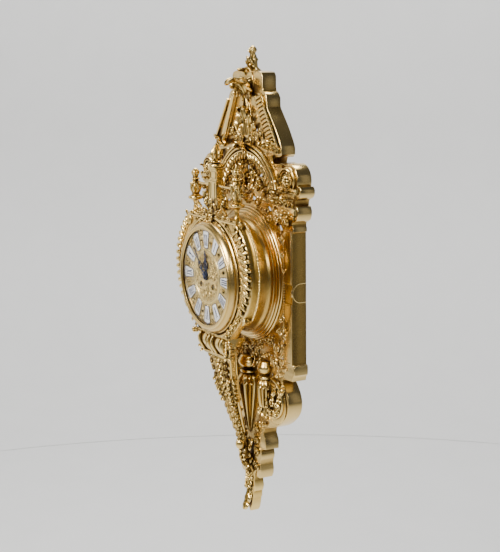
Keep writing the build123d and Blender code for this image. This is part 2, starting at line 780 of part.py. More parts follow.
def front_plate():
    """Front plate with the studs of the minute wheel, the clicks and the lifting lever."""
    outline = Circle(plate_radius)
    for place, radius in plate_bores() + [(anchor_place, arbor_radius + running)]:
        outline -= Pos(*place) * Circle(radius)
    body = slab(outline, front_plate_near, front_plate_far)
    studs = ((minute_place, 7.2), (click_place(1), 3.2), (click_place(-1), 3.2), (lever_place, 4.2))
    for place, length in studs:
        body += rod(place, stud_radius, front_plate_near - length, front_plate_near)
    return body


def click_place(side):
    """Stud of the click above each ratchet wheel."""
    return around(ratchet_radius + click_out, 90 - side * 25, (side * barrel_spacing / 2, -barrel_drop))


def back_plate():
    outline = Circle(plate_radius)
    for place, radius in plate_bores():
        outline -= Pos(*place) * Circle(radius)
    outline -= Pos(*anchor_place) * Circle(3.0)
    return slab(outline, back_plate_near, back_plate_far)


def plate_pillars():
    pillars = [rod(around(pillar_circle, angle), pillar_radius, front_plate_far, back_plate_near)
               for angle in pillar_angles]
    return Compound(children=pillars)


def movement_straps():
    """Two brass straps between the dial ring and the web of the frame."""
    strap_x = dial_radius - dial_ring_width / 2 - 3.5
    straps = []
    for side in (-1, 1):
        bar = Pos(side * strap_x, (mask_front + web_front) / 2, 0) * Box(2, web_front - mask_front, 10)
        foot = Pos(side * (strap_x + drum_bore - 1) / 2, web_front - 1, 0) * Box(
            drum_bore - 1 - strap_x, 2, 10)
        ear = Pos(side * (strap_x + 1.5), mask_front - 1, 0) * Box(5, 2, 10)
        straps.append(bar + foot + ear - dial_ring())
    return Compound(children=straps)


def back_cock():
    """Two posts off the back plate that carry the anchor's rear pivot and the pendulum."""
    post_x = 11.0
    bridge_thickness = 6.0
    bar_height = anchor_place[1]
    bar_near = back_plate_far + pivot_bar_behind
    bridge_near = pendulum_y - bridge_thickness / 2
    bar = Pos(0, bar_height) * (Rectangle(2 * post_x + 7, 7) - Circle(arbor_radius + running))
    body = slab(bar, bar_near, bar_near + pivot_bar_thickness)
    for side in (-1, 1):
        body += rod((side * post_x, bar_height - 2), 2.2, bridge_near, back_plate_far)
    bridge = Rectangle(2 * post_x + 6, 14) - Pos(0, -2) * Rectangle(1.4, 10)
    body += slab(Pos(0, suspension_height + 4) * bridge, bridge_near, bridge_near + bridge_thickness)
    pin_hole = Rot(90, 0, 0) * Cylinder(1.0, 20)
    return body - Pos(0, pendulum_y, suspension_height) * pin_hole


def bell():
    inner = bell_radius - bell_wall
    near = bell_near
    profile = [(inner, near), (bell_radius, near), (bell_radius - 1, near + bell_depth * 0.5),
               (bell_radius * 0.72, near + bell_depth * 0.88), (10, near + bell_depth),
               (bell_post_radius, near + bell_depth), (bell_post_radius, near + bell_depth - bell_wall),
               (10, near + bell_depth - bell_wall), (inner * 0.72, near + bell_depth * 0.88 - bell_wall),
               (inner - 1, near + bell_depth * 0.5 - 1)]
    return turned(profile, bell_place)


def bell_stand():
    """Arm off the back plate and the post that holds the bell."""
    foot = (-24.0, -30.0)
    length = hypot(foot[0] - bell_place[0], foot[1] - bell_place[1]) + 8
    middle = ((foot[0] + bell_place[0]) / 2, (foot[1] + bell_place[1]) / 2)
    arm = Pos(*middle) * Rot(0, 0, heading(foot, bell_place)) * Rectangle(length, 7)
    body = slab(arm, back_plate_far, back_plate_far + 2.5)
    return body + rod(bell_place, bell_post_radius, back_plate_far + 2.5, bell_near + bell_depth + 3)


def barrel(place, mate):
    """Spring barrel: great wheel, closed drum and lid, bored for the winding arbor."""
    near = level(1.6)
    drum_end = level(20.0)
    wheel = slab(toothing(barrel_teeth, barrel_module, place, mate, False), near, near + 2)
    shell = rod(place, barrel_drum_radius, near + 2, drum_end)
    hollow = rod(place, barrel_drum_radius - barrel_drum_wall, near + 2, drum_end - barrel_drum_wall)
    return wheel + (shell - hollow) - rod(place, barrel_arbor_radius + running, near, drum_end)


def mainspring(place):
    """Coiled spring inside the barrel, drawn as half turns of growing radius."""
    inner = barrel_arbor_radius + 1.2
    turns = 5
    pitch = (barrel_drum_radius - barrel_drum_wall - inner - 1.0) / turns
    strip = 0.5
    edges = []
    radius = inner
    start = (radius, 0.0)
    for half_turn in range(2 * turns):
        direction = 1 if half_turn % 2 == 0 else -1
        next_radius = radius + pitch / 2
        end = (-direction * next_radius, 0.0)
        middle = ((start[0] + end[0]) / 2, direction * (radius + next_radius) / 2)
        edges.append(ThreePointArc(start, middle, end))
        start = end
        radius = next_radius
    ribbon = trace(Curve() + edges, line_width=strip)
    return slab(Pos(*place) * ribbon, level(4.6), level(17.6))


def winding_arbor(place):
    """Arbor with the key square in front and the ratchet wheel."""
    body = rod(place, barrel_arbor_radius, front_plate_near, back_plate_far - 0.3)
    body += rod(place, barrel_arbor_radius, ratchet_near - 1, front_plate_near)
    body += slab(Pos(*place) * Rectangle(3.6, 3.6), ratchet_near - 6.2, ratchet_near - 1)
    step = 360 / ratchet_teeth
    points = []
    for tooth in range(ratchet_teeth):
        points.append(around(ratchet_radius, tooth * step))
        points.append(around(ratchet_radius - 1.2, (tooth + 0.08) * step))
    ratchet = Pos(*place) * Polygon(*points, align=None)
    return body + slab(ratchet, ratchet_near, ratchet_near + ratchet_thickness)


def click(side):
    """Pawl that stands just clear of the ratchet's tooth circle."""
    stud = click_place(side)
    wheel = (side * barrel_spacing / 2, -barrel_drop)
    tip = around(ratchet_radius + 0.3, 90 + side * 12, wheel)
    beak = shape_of([around(1.6, heading(stud, tip) + 90, stud), around(1.6, heading(stud, tip) - 90, stud),
                     tip])
    outline = (Pos(*stud) * Circle(2.2)) + beak
    outline -= Pos(*stud) * Circle(stud_radius + running)
    outline -= Pos(*wheel) * Circle(ratchet_radius + 0.2)
    return slab(outline, ratchet_near, ratchet_near + 1.2)


def second_wheel():
    body = pivoted_arbor(second_place)
    body += pinion(second_pinion_teeth, barrel_module, second_place, going_barrel_place,
                   level(1.0), level(4.2))
    return body + train_wheel(second_wheel_teeth, second_module, second_place, centre_place, level(24.0))


def centre_wheel():
    body = rod(centre_place, centre_arbor_radius, minute_hand_seat, back_plate_far - 0.3)
    body += pinion(centre_pinion_teeth, second_module, centre_place, second_place, level(23.4), level(25.8))
    return body + train_wheel(centre_wheel_teeth, centre_module, centre_place, third_place, level(27.6))


def cannon_pinion():
    """Pipe on the centre arbor that carries the minute hand."""
    body = rod(centre_place, cannon_radius, minute_hand_seat, front_plate_near - 0.5)
    body += pinion(cannon_teeth, minute_module, centre_place, minute_place, ahead(3.4), ahead(1.0))
    return body - rod(centre_place, centre_arbor_radius, minute_hand_seat, front_plate_near)


def minute_wheel():
    body = train_wheel(minute_wheel_teeth, minute_module, minute_place, centre_place, ahead(2.8))
    body += rod(minute_place, 2.6, ahead(4.2), ahead(1.6))
    body += pinion(minute_pinion_teeth, hour_module, minute_place, centre_place, ahead(7.0), ahead(4.2))
    return body - rod(minute_place, stud_radius + running, ahead(8.0), ahead(1.0))


def hour_wheel():
    body = rod(centre_place, hour_pipe_radius, hour_hand_near, ahead(4.4))
    body += train_wheel(hour_wheel_teeth, hour_module, centre_place, minute_place, ahead(6.4))
    return body - rod(centre_place, cannon_radius + running, hour_hand_near, ahead(4.0))


def third_wheel():
    body = pivoted_arbor(third_place)
    body += pinion(third_pinion_teeth, centre_module, third_place, centre_place, level(27.0), level(29.4))
    return body + train_wheel(third_wheel_teeth, third_module, third_place, escape_place, level(15.0))


def escape_wheel():
    """Wheel with slender leaning teeth."""
    step = 360 / escape_teeth
    points = []
    for tooth in range(escape_teeth):
        points.append(around(escape_radius - 1.6, (tooth - 0.25) * step))
        points.append(around(escape_radius, (tooth + 0.15) * step))
        points.append(around(escape_radius, (tooth + 0.25) * step))
        points.append(around(escape_radius - 1.6, (tooth + 0.20) * step))
    rim = crossed_out(Polygon(*points, align=None), centre_place, escape_radius - 2.6, 2.2, 4)
    body = pivoted_arbor(escape_place) + slab(Pos(*escape_place) * rim, escape_level, escape_level + 1.0)
    return body + pinion(escape_pinion_teeth, third_module, escape_place, third_place,
                         level(14.4), level(16.8))


def anchor():
    """Pallets, their arbor and the crutch whose pin reaches back to the pendulum."""
    bar_far = back_plate_far + pivot_bar_behind + pivot_bar_thickness
    body = rod(anchor_place, arbor_radius, front_plate_near + 0.3, bar_far - 0.4)
    pallets = Pos(*anchor_place) * Circle(2.4)
    clear = escape_radius + 0.5
    for side in (-1, 1):
        inner_tip = around(clear, 90 - side * 37, escape_place)
        outer_tip = around(clear + 1.8, 90 - side * 44, escape_place)
        pallets += shape_of([(side * 1.5, anchor_place[1] + 1.8), (-side * 1.0, anchor_place[1] - 1.0),
                             inner_tip, outer_tip])
    body += slab(pallets, escape_level - 0.3, escape_level + 1.3)
    crutch_y = back_plate_far + crutch_behind
    pin_height = anchor_place[1] - crutch_drop
    body += rod(anchor_place, 2.2, crutch_y - 0.8, crutch_y + 1.6)
    body += Pos(0, crutch_y, (anchor_place[1] + pin_height) / 2) * Box(1.6, 1.2, crutch_drop)
    return body + rod((0, pin_height), crutch_pin_radius, crutch_y - 0.6, pendulum_y + 3.4)


def pendulum_rod():
    """Suspension spring, rod, crutch slot and the rating screw with its nut."""
    pin_height = anchor_place[1] - crutch_drop
    spring_bottom = suspension_height - 12
    rod_bottom = bob_height - bob_radius - 9
    body = Pos(0, pendulum_y, (suspension_height + spring_bottom) / 2) * Box(0.4, 4.4, 12)
    body += Pos(0, pendulum_y, suspension_height) * Rot(90, 0, 0) * Cylinder(0.8, 9)
    body += Pos(0, pendulum_y, (spring_bottom + rod_bottom) / 2) * Cylinder(
        pendulum_rod_radius, spring_bottom - rod_bottom)
    body += Pos(0, pendulum_y, spring_bottom) * Box(5, 4, 5)
    body += Pos(0, pendulum_y, pin_height) * Box(6.4, 5, 12)
    slot = Box(2 * crutch_pin_radius + 0.4, 7, 8)
    body -= Pos(0, pendulum_y, pin_height) * slot
    return body + Pos(0, pendulum_y, bob_height - bob_radius - 3) * Cylinder(4, 4)


def pendulum_bob():
    """Lens-shaped bob, bored for the rod."""
    half = bob_thickness / 2
    rim = 1.2
    profile = [(0, -half), (bob_radius * 0.55, -half * 0.86), (bob_radius, -rim), (bob_radius, rim),
               (bob_radius * 0.55, half * 0.86), (0, half)]
    lens = Pos(0, pendulum_y, 0) * turned(profile, (0, bob_height))
    return lens - Pos(0, pendulum_y, bob_height) * Cylinder(pendulum_rod_radius, 2 * bob_radius + 4)


def strike_second_wheel():
    body = rod(strike_second_place, arbor_radius, front_plate_near + 0.3, count_wheel_near + 1.2)
    body += pinion(second_pinion_teeth, barrel_module, strike_second_place, strike_barrel_place,
                   level(1.0), level(4.2))
    return body + train_wheel(second_wheel_teeth, second_module, strike_second_place, pin_place, level(21.2))


def count_wheel():
    """Wheel whose notches stand after one, two and up to twelve blows, with a half-hour blow between."""
    radius = 15.0
    notch_depth = 2.0
    blows = sum(range(1, 13)) + 12
    outline = Circle(radius)
    counted = 0
    for hour in range(1, 13):
        for blow in (hour, 1):
            counted += blow
            notch = Pos(radius, 0) * Rectangle(2 * notch_depth, 0.55)
            outline -= Rot(0, 0, 360 * counted / blows) * notch
    outline = Pos(*strike_second_place) * (outline - Circle(arbor_radius))
    outline = crossed_out(outline, strike_second_place, radius - 5, 3, 4)
    return slab(outline, count_wheel_near, count_wheel_near + 1.0)


def pin_wheel():
    body = pivoted_arbor(pin_place)
    body += pinion(pin_pinion_teeth, second_module, pin_place, strike_second_place, level(20.6), level(23.0))
    body += train_wheel(pin_wheel_teeth, pin_module, pin_place, warning_place, level(9.0))
    for pin in range(lifting_pins):
        place = around(pin_circle, 360 * pin / lifting_pins, pin_place)
        body += rod(place, 0.45, level(9.4), level(12.6))
    return body


def warning_wheel():
    body = pivoted_arbor(warning_place)
    body += pinion(warning_pinion_teeth, pin_module, warning_place, pin_place, level(8.4), level(10.8))
    return body + train_wheel(warning_wheel_teeth, warning_module, warning_place, fly_place, level(4.0))


def fly():
    """Two-bladed air brake."""
    body = pivoted_arbor(fly_place)
    body += pinion(fly_pinion_teeth, warning_module, fly_place, warning_place, level(3.4), level(5.8))
    blade = Pos(*fly_place) * Rectangle(9.0, 0.8)
    return body + slab(blade, level(11.5), level(19.0))


def hammer():
    """Hammer arbor with its tail by the lifting pins, and the arm and head outside the back plate."""
    arm_near = back_plate_far + hammer_arm_behind
    body = rod(hammer_place, arbor_radius, front_plate_near + 0.3, arm_near + 1.6)
    reach = hypot(pin_place[0] - hammer_place[0], pin_place[1] - hammer_place[1]) - pin_circle - 0.9
    towards = heading(hammer_place, pin_place)
    tail_middle = around(reach / 2, towards, hammer_place)
    tail = Pos(*tail_middle) * Rot(0, 0, towards) * Rectangle(reach, 1.4) + Pos(*hammer_place) * Circle(1.8)
    body += slab(tail, level(10.6), level(12.4))
    head_place = around(bell_radius + hammer_head_radius + hammer_gap, 120, bell_place)
    length = hypot(head_place[0] - hammer_place[0], head_place[1] - hammer_place[1])
    arm_middle = ((head_place[0] + hammer_place[0]) / 2, (head_place[1] + hammer_place[1]) / 2)
    arm = Pos(*arm_middle) * Rot(0, 0, heading(hammer_place, head_place)) * Rectangle(length, 2.0)
    arm += Pos(*hammer_place) * Circle(2.4)
    body += slab(arm, arm_near, arm_near + 1.6)
    return body + rod(head_place, hammer_head_radius, arm_near - 1.0, arm_near + 5.0)


def lifting_lever():
    """Lever on the front plate that the minute wheel raises to let the strike off."""
    hub = Pos(*lever_place) * Circle(2.4)
    x, z = lever_place
    inward = shape_of([(x, z + 1.2), (x, z - 1.2), (x + 5.2, z - 3.4), (x + 5.2, z - 2.2)])
    outward = shape_of([(x, z + 1.2), (x, z - 1.2), (x - 18.0, z + 10.0), (x - 19.0, z + 11.4)])
    outline = hub + inward + outward - Pos(*lever_place) * Circle(stud_radius + running)
    return slab(outline, ahead(4.0), ahead(2.6))


def all_parts():
    """Every node and its shape, about the dial centre."""
    return {
        "back_frame": back_frame(),
        "gable_rake_left": gable_rake(-1),
        "gable_rake_right": gable_rake(1),
        "tympanum_crest": tympanum_crest(),
        "apex_finial": apex_finial(),
        "arch_surround": arch_surround(),
        "shoulder_left": shoulder(-1),
        "shoulder_right": shoulder(1),
        "base_scrolls": base_scrolls(),
        "reeded_terms": reeded_terms(),
        "lower_pendant": lower_pendant(),
        "drum": drum(),
        "front_mask": front_mask(),
        "centre_pinnacle": centre_pinnacle(),
        "turret_left": turret(-1),
        "turret_right": turret(1),
        "console": console(),
        "lower_drop": lower_drop(),
        "hanger_plate": hanger_plate(),
        "case_screws": case_screws(),
        "dial_plate": dial_plate(),
        "numeral_plaques": numeral_plaques(),
        "dial_ring": dial_ring(),
        "front_plate": front_plate(),
        "back_plate": back_plate(),
        "plate_pillars": plate_pillars(),
        "movement_straps": movement_straps(),
        "back_cock": back_cock(),
        "bell": bell(),
        "bell_stand": bell_stand(),
        "bezel_hinge_pin": bezel_hinge_pin(),
        "bezel_ring": bezel_ring(),
        "glass": glass(),
        "minute_hand": minute_hand(),
        "cannon_pinion": cannon_pinion(),
        "centre_wheel": centre_wheel(),
        "hour_hand": hour_hand(),
        "hour_wheel": hour_wheel(),
        "minute_wheel": minute_wheel(),
        "going_barrel": barrel(going_barrel_place, second_place),
        "strike_barrel": barrel(strike_barrel_place, strike_second_place),
        "mainspring_going": mainspring(going_barrel_place),
        "mainspring_strike": mainspring(strike_barrel_place),
        "winding_arbor_going": winding_arbor(going_barrel_place),
        "winding_arbor_strike": winding_arbor(strike_barrel_place),
        "click_going": click(1),
        "click_strike": click(-1),
        "second_wheel": second_wheel(),
        "third_wheel": third_wheel(),
        "escape_wheel": escape_wheel(),
        "anchor": anchor(),
        "pendulum_rod": pendulum_rod(),
        "pendulum_bob": pendulum_bob(),
        "strike_second_wheel": strike_second_wheel(),
        "count_wheel": count_wheel(),
        "pin_wheel": pin_wheel(),
        "warning_wheel": warning_wheel(),
        "fly": fly(),
        "hammer": hammer(),
        "lifting_lever": lifting_lever(),
    }


def main():
    os.makedirs("parts", exist_ok=True)
    for name, shape in all_parts().items():
        export_step(Pos(0, 0, -hanging_height) * shape, f"parts/{name}.step")


if __name__ == "__main__":
    main()
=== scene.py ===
import json
import math
import bpy
import numpy as np
from mathutils import Matrix, Vector


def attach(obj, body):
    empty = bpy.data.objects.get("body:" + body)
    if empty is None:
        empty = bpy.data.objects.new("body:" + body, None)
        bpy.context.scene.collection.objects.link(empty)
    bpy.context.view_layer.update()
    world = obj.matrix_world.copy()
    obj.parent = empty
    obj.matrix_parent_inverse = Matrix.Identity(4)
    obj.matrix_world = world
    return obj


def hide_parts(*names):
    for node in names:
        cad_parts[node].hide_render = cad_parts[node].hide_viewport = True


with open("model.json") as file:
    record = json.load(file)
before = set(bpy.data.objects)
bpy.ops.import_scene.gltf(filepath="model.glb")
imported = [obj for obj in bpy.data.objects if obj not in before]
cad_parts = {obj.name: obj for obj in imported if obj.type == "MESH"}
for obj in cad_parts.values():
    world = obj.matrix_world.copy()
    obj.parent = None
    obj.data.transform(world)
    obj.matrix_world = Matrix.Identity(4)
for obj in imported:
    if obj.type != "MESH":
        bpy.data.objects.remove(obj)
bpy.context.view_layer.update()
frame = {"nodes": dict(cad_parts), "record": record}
print("stage: frame loaded")

# Pieces are drawn in millimetres round the dial centre: X to the viewer's right, -Y to the front, Z up
dialHeight = -0.300
webFront = -26.5          # front face of the back frame's web
maskBack = -80.5


# Mesh tools

def seat(x, y, z, turn=0, tilt=0, facing=0, size=1.0, flip=False):
    # turns a shape's (right, up, out) into places on the clock; turn is anticlockwise from the front
    t, n, f = (math.radians(a) for a in (turn, tilt, facing))
    right = np.array([math.cos(f), math.sin(f), 0])
    out = np.array([math.sin(f), -math.cos(f), 0])
    up = np.array([0, 0, 1.0])
    right, up = right * math.cos(t) + up * math.sin(t), up * math.cos(t) - right * math.sin(t)
    up, out = up * math.cos(n) + out * math.sin(n), out * math.cos(n) - up * math.sin(n)
    axes = np.array([-right if flip else right, up, out]) * size
    return lambda shape: shape @ axes + np.array([x, y, z])


def outward(x, y, z, reach, facing, turn=0):
    # a seat on the side of an upright piece, turned to face away from its middle
    a = math.radians(facing)
    return seat(x + reach * math.sin(a), y - reach * math.cos(a), z, turn, facing=facing)


def lay(shells, x=0, y=0, out=0, turn=0, size=1.0, flip=False):
    # moves a list of shapes about within their own plane
    c, s = math.cos(math.radians(turn)) * size, math.sin(math.radians(turn)) * size
    axes = np.array([[-c if flip else c, -s if flip else s, 0], [-s, c, 0], [0, 0, size]])
    return [shell @ axes + np.array([x, y, out]) for shell in shells]


class Casting:
    # gathers closed surfaces and turns them into one mesh
    def __init__(self):
        self.points = []
        self.quads = []
        self.tris = []
        self.count = 0

    def store(self, points, quads, tris):
        self.points.append(points)
        self.quads.append(quads + self.count)
        self.tris.append(tris + self.count)
        self.count += len(points)

    def shell(self, grid, ring=False):
        # grid rows run along the shape, columns go round it; the ends are closed unless it is a ring
        if not ring:
            middle = [np.repeat(grid[k].mean(0)[None], grid.shape[1], 0)[None] for k in (0, -1)]
            grid = np.concatenate([middle[0], grid, middle[1]])
        rows, columns = grid.shape[:2]
        index = np.arange(rows * columns).reshape(rows, columns)
        if not ring:
            index[0] = index[0, 0]
            index[-1] = index[-1, 0]
        index = np.hstack([index, index[:, :1]])
        if ring:
            index = np.vstack([index, index[:1]])
        quads = np.stack([index[:-1, :-1], index[:-1, 1:], index[1:, 1:], index[1:, :-1]], -1)
        tris = np.zeros((0, 3), int)
        if not ring:
            first, last = quads[0], quads[-1]
            tris = np.vstack([first[:, [0, 2, 3]], last[:, [0, 1, 2]]])
            quads = quads[1:-1]
        quads = quads.reshape(-1, 4)
        points = grid.reshape(-1, 3)
        a, b, c, d = (points[quads[:, k]] for k in range(4))
        if (np.cross(b - a, c - a) * a).sum() + (np.cross(c - a, d - a) * a).sum() < 0:
            quads, tris = quads[:, ::-1], tris[:, ::-1]
        self.store(points, quads, tris)

    def add(self, shells, place, both=False):
        for shell in shells:
            placed = place(shell)
            self.shell(placed)
            if both:
                self.shell(placed * (-1, 1, 1))

    def hoops(self, grids, place):
        for grid in grids:
            self.shell(place(grid), True)

    def plate(self, outlines, near, far, rounding=0.0, both=False):
        # flat plate seen from the front, its later outlines are holes
        curve = bpy.data.curves.new("outline", "CURVE")
        curve.dimensions = "2D"
        curve.fill_mode = "BOTH"
        curve.extrude = (far - near) / 2 - rounding
        curve.bevel_depth = rounding
        curve.bevel_resolution = 2
        curve.offset = -rounding
        for outline in outlines:
            spline = curve.splines.new("POLY")
            spline.points.add(len(outline) - 1)
            spline.points.foreach_set("co", [v for x, z in outline for v in (x, z, 0, 1)])
            spline.use_cyclic_u = True
        holder = bpy.data.objects.new("outline", curve)
        mesh = bpy.data.meshes.new_from_object(holder)
        mesh.calc_loop_triangles()
        flat = np.zeros(len(mesh.vertices) * 3)
        mesh.vertices.foreach_get("co", flat)
        tris = np.zeros(len(mesh.loop_triangles) * 3, int)
        mesh.loop_triangles.foreach_get("vertices", tris)
        x, z, y = flat.reshape(-1, 3).T
        points = np.stack([x, (near + far) / 2 - y, z], 1)
        # the fill's caps and its sides come apart, so equal points are joined
        _, keep, joined = np.unique(np.round(points, 4), axis=0, return_index=True, return_inverse=True)
        tris = joined.reshape(-1)[tris.reshape(-1, 3)]
        tris = tris[(tris[:, 0] != tris[:, 1]) & (tris[:, 1] != tris[:, 2]) & (tris[:, 0] != tris[:, 2])]
        points = points[keep]
        none = np.zeros((0, 4), int)
        for side in ((1, -1) if both else (1,)):
            self.store(points * (side, 1, 1), none, tris[:, ::-1] if side < 0 else tris)
        bpy.data.objects.remove(holder)
        bpy.data.curves.remove(curve)
        bpy.data.meshes.remove(mesh)

    def cast(self, name, finish, replaced=(), body="case", sharp=38):
        points = np.vstack(self.points) * 0.001 + (0, 0, dialHeight)
        quads, tris = np.vstack(self.quads), np.vstack(self.tris)
        mesh = bpy.data.meshes.new(name)
        mesh.vertices.add(len(points))
        mesh.vertices.foreach_set("co", points.ravel())
        mesh.loops.add(quads.size + tris.size)
        mesh.loops.foreach_set("vertex_index", np.concatenate([quads.ravel(), tris.ravel()]))
        mesh.polygons.add(len(quads) + len(tris))
        starts = np.concatenate([np.arange(len(quads)) * 4, quads.size + np.arange(len(tris)) * 3])
        mesh.polygons.foreach_set("loop_start", starts)
        mesh.update(calc_edges=True)
        mesh.validate()
        mesh.shade_smooth()
        mesh.set_sharp_from_angle(angle=math.radians(sharp))
        markHollows(mesh)
        piece = bpy.data.objects.new(name, mesh)
        bpy.context.scene.collection.objects.link(piece)
        piece.data.materials.append(finish)
        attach(piece, body)
        if replaced:
            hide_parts(*replaced)
        print("piece:", name, len(mesh.polygons), "faces")
        return piece


def markHollows(mesh):
    # stores how hollow (above 0.5) or proud (below 0.5) each point lies; the finish paints shade into the
    # hollows and a highlight onto proud parts, and roughens the hollows
    points = np.zeros(len(mesh.vertices) * 3)
    normals = np.zeros(len(mesh.vertices) * 3)
    edges = np.zeros(len(mesh.edges) * 2, int)
    mesh.vertices.foreach_get("co", points)
    mesh.vertices.foreach_get("normal", normals)
    mesh.edges.foreach_get("vertices", edges)
    points, normals, edges = points.reshape(-1, 3), normals.reshape(-1, 3), edges.reshape(-1, 2)
    a, b = edges.T
    step = points[b] - points[a]
    step /= np.maximum(np.linalg.norm(step, axis=1, keepdims=True), 1e-9)
    hollow = np.bincount(a, (step * normals[a]).sum(1), len(points))
    hollow -= np.bincount(b, (step * normals[b]).sum(1), len(points))
    share = np.maximum(np.bincount(a, minlength=len(points)) + np.bincount(b, minlength=len(points)), 1)
    hollow /= share
    for _ in range(2):
        spread = np.bincount(a, hollow[b], len(points)) + np.bincount(b, hollow[a], len(points))
        hollow = 0.5 * hollow + 0.5 * spread / share
    layer = mesh.attributes.new("hollow", "FLOAT", "POINT")
    layer.data.foreach_set("value", np.clip(0.5 + hollow * 1.6, 0, 1))


# Shapes: each returns arrays of (right, up, out), rows along and columns round

def roundSection(sides=12):
    angle = np.arange(sides) * 2 * math.pi / sides
    return np.stack([np.cos(angle), np.sin(angle)], 1)


def section(*points):
    # upper outline from left to right, closed underneath
    return np.array(list(points) + [(0.6, -0.4), (-0.6, -0.4)])


channelSection = section((-1, -0.2), (-1, 0.5), (-0.85, 0.9), (-0.6, 0.95), (-0.42, 0.6), (-0.2, 0.42),
                         (0, 0.38),
                         (0.2, 0.42), (0.42, 0.6), (0.6, 0.95), (0.85, 0.9), (1, 0.5), (1, -0.2))
ridgeSection = section((-1, -0.2), (-0.9, 0.25), (-0.55, 0.5), (-0.25, 0.62), (0, 1), (0.25, 0.62),
                       (0.55, 0.5),
                       (0.9, 0.25), (1, -0.2))
bandSection = section((-1, -0.3), (-1, 0.8), (-0.9, 1), (0.9, 1), (1, 0.8), (1, -0.3))
sunkSection = section((-1, -0.3), (-1, 0.7), (-0.94, 1), (-0.8, 1), (-0.74, 0.7), (-0.7, 0.15), (-0.3, 0.1),
                      (-0.22, 0.45),
                      (0.22, 0.45), (0.3, 0.1), (0.7, 0.15), (0.74, 0.7), (0.8, 1), (0.94, 1), (1, 0.7),
                      (1, -0.3))


def sweep(path, width, height, profile, out=(0, 0, 1), ring=False):
    path = np.asarray(path, float)
    if ring:
        tangent = np.roll(path, -1, 0) - np.roll(path, 1, 0)
    else:
        tangent = np.gradient(path, axis=0)
    tangent /= np.maximum(np.linalg.norm(tangent, axis=1, keepdims=True), 1e-9)
    out = np.broadcast_to(np.asarray(out, float), path.shape)
    side = np.cross(tangent, out)
    side /= np.maximum(np.linalg.norm(side, axis=1, keepdims=True), 1e-9)
    width = np.broadcast_to(width, len(path))[:, None, None]
    height = np.broadcast_to(height, len(path))[:, None, None]
    across = profile[None, :, 0, None] * width * side[:, None]
    return path[:, None] + across + profile[None, :, 1, None] * height * out[:, None]


def spiral(radius, inner, start, stop, count=40, centre=(0, 0), out=0.0):
    s = np.linspace(0, 1, count)
    r = radius + (inner - radius) * s ** 0.8
    a = np.radians(start + (stop - start) * s)
    return np.stack([centre[0] + r * np.cos(a), centre[1] + r * np.sin(a), np.full(count, out)], 1)


def smooth(points, each=6):
    # a curve through the points
    p = np.array([points[0], *points, points[-1]], float)
    t = np.linspace(0, 1, each, endpoint=False)[:, None]
    runs = []
    for a, b, c, d in zip(p, p[1:], p[2:], p[3:]):
        runs.append(0.5 * (2 * b + (c - a) * t + (2 * a - 5 * b + 4 * c - d) * t ** 2
                           + (3 * b - a - 3 * c + d) * t ** 3))
    return np.vstack(runs + [p[-1:]])


def leaf(length, width, lobes=3, curl=0.9, rise=0.15, bend=0.0, cup=0.18, thick=0.14, lean=1.0):
    # acanthus leaf: scalloped edge, raised rib, a dome to each lobe, and a tip that curls outward
    rows = 7 * lobes + 5
    s = np.linspace(0, 1, rows)[:, None]
    t = np.concatenate([np.linspace(-1, 1, 13), np.linspace(0.9, -0.9, 7)])[None]
    under = np.concatenate([np.zeros(13), np.ones(7)])[None]
    lobe = np.abs(np.sin(np.pi * lobes * np.clip(s, 0, 0.999))) ** 0.6
    swell = (1 - s) ** 0.42 * (0.45 + 1.5 * s)
    half = 0.5 * width * swell * (0.58 + 0.42 * lobe)
    half = half * np.where(t < 0, lean, 1.0)
    dome = cup * width * swell * (1 - t ** 2)
    dome = dome - 0.13 * width * swell * (1 - lobe) * np.abs(t) ** 0.5
    dome = dome + 0.07 * width * np.exp(-(t / 0.14) ** 2)
    dome = dome - 0.05 * width * np.exp(-((np.abs(t) - 0.3) / 0.14) ** 2)
    dome = dome - under * (thick * width + 0.6 * dome)
    pitch = rise + curl * s[:, 0] ** 2
    yaw = bend * s[:, 0]
    way = np.stack([np.sin(yaw) * np.cos(pitch), np.cos(yaw) * np.cos(pitch), np.sin(pitch)], 1)
    step = length / (rows - 1)
    spine = np.vstack([np.zeros(3), np.cumsum((way[1:] + way[:-1]) / 2 * step, 0)])
    across = np.stack([np.cos(yaw), -np.sin(yaw), np.zeros(rows)], 1)
    normal = np.cross(across, way)
    forward = 0.28 * width * np.abs(t) ** 1.5 * swell * (1 - s)
    grid = spine[:, None] + (half * t)[..., None] * across[:, None]
    return [grid + dome[..., None] * normal[:, None] + forward[..., None] * way[:, None]]


def stem(path, width, height, profile, taper):
    # thin at its start and end
    s = np.linspace(0, 1, len(path))
    size = width * (taper + (1 - taper) * np.sin(np.pi * np.clip(s * 0.9 + 0.1, 0, 1)) ** 0.6)
    return [sweep(path, size, size * height / width, profile)]


def rosette(radius, petals=6, height=None):
    height = height or radius * 0.45
    r = np.array([0.02, 0.16, 0.26, 0.36, 0.5, 0.66, 0.82, 0.95, 1.0, 0.9])[:, None]
    lift = np.array([1.0, 0.9, 0.5, 0.42, 0.72, 0.86, 0.7, 0.35, 0.0, -0.25])[:, None]
    a = np.linspace(0, 2 * math.pi, petals * 8, endpoint=False)[None]
    fold = np.abs(np.cos(petals * a / 2)) ** 0.6
    edge = np.where(r > 0.3, 0.68 + 0.32 * fold, 1.0)
    rise = lift * np.where(r > 0.3, 0.55 + 0.45 * fold, 1.0)
    return [np.stack([radius * r * edge * np.cos(a), radius * r * edge * np.sin(a), height * rise], -1)]


def ball(radius, stretch=(1, 1, 1), sides=10, rows=7):
    a = np.linspace(0, 2 * math.pi, sides, endpoint=False)[None]
    e = np.linspace(-0.49, 0.49, rows)[:, None] * math.pi
    return [radius * np.stack([np.cos(e) * np.cos(a) * stretch[0], np.cos(e) * np.sin(a) * stretch[1],
                               np.sin(e) * stretch[2] + 0 * a], -1)]


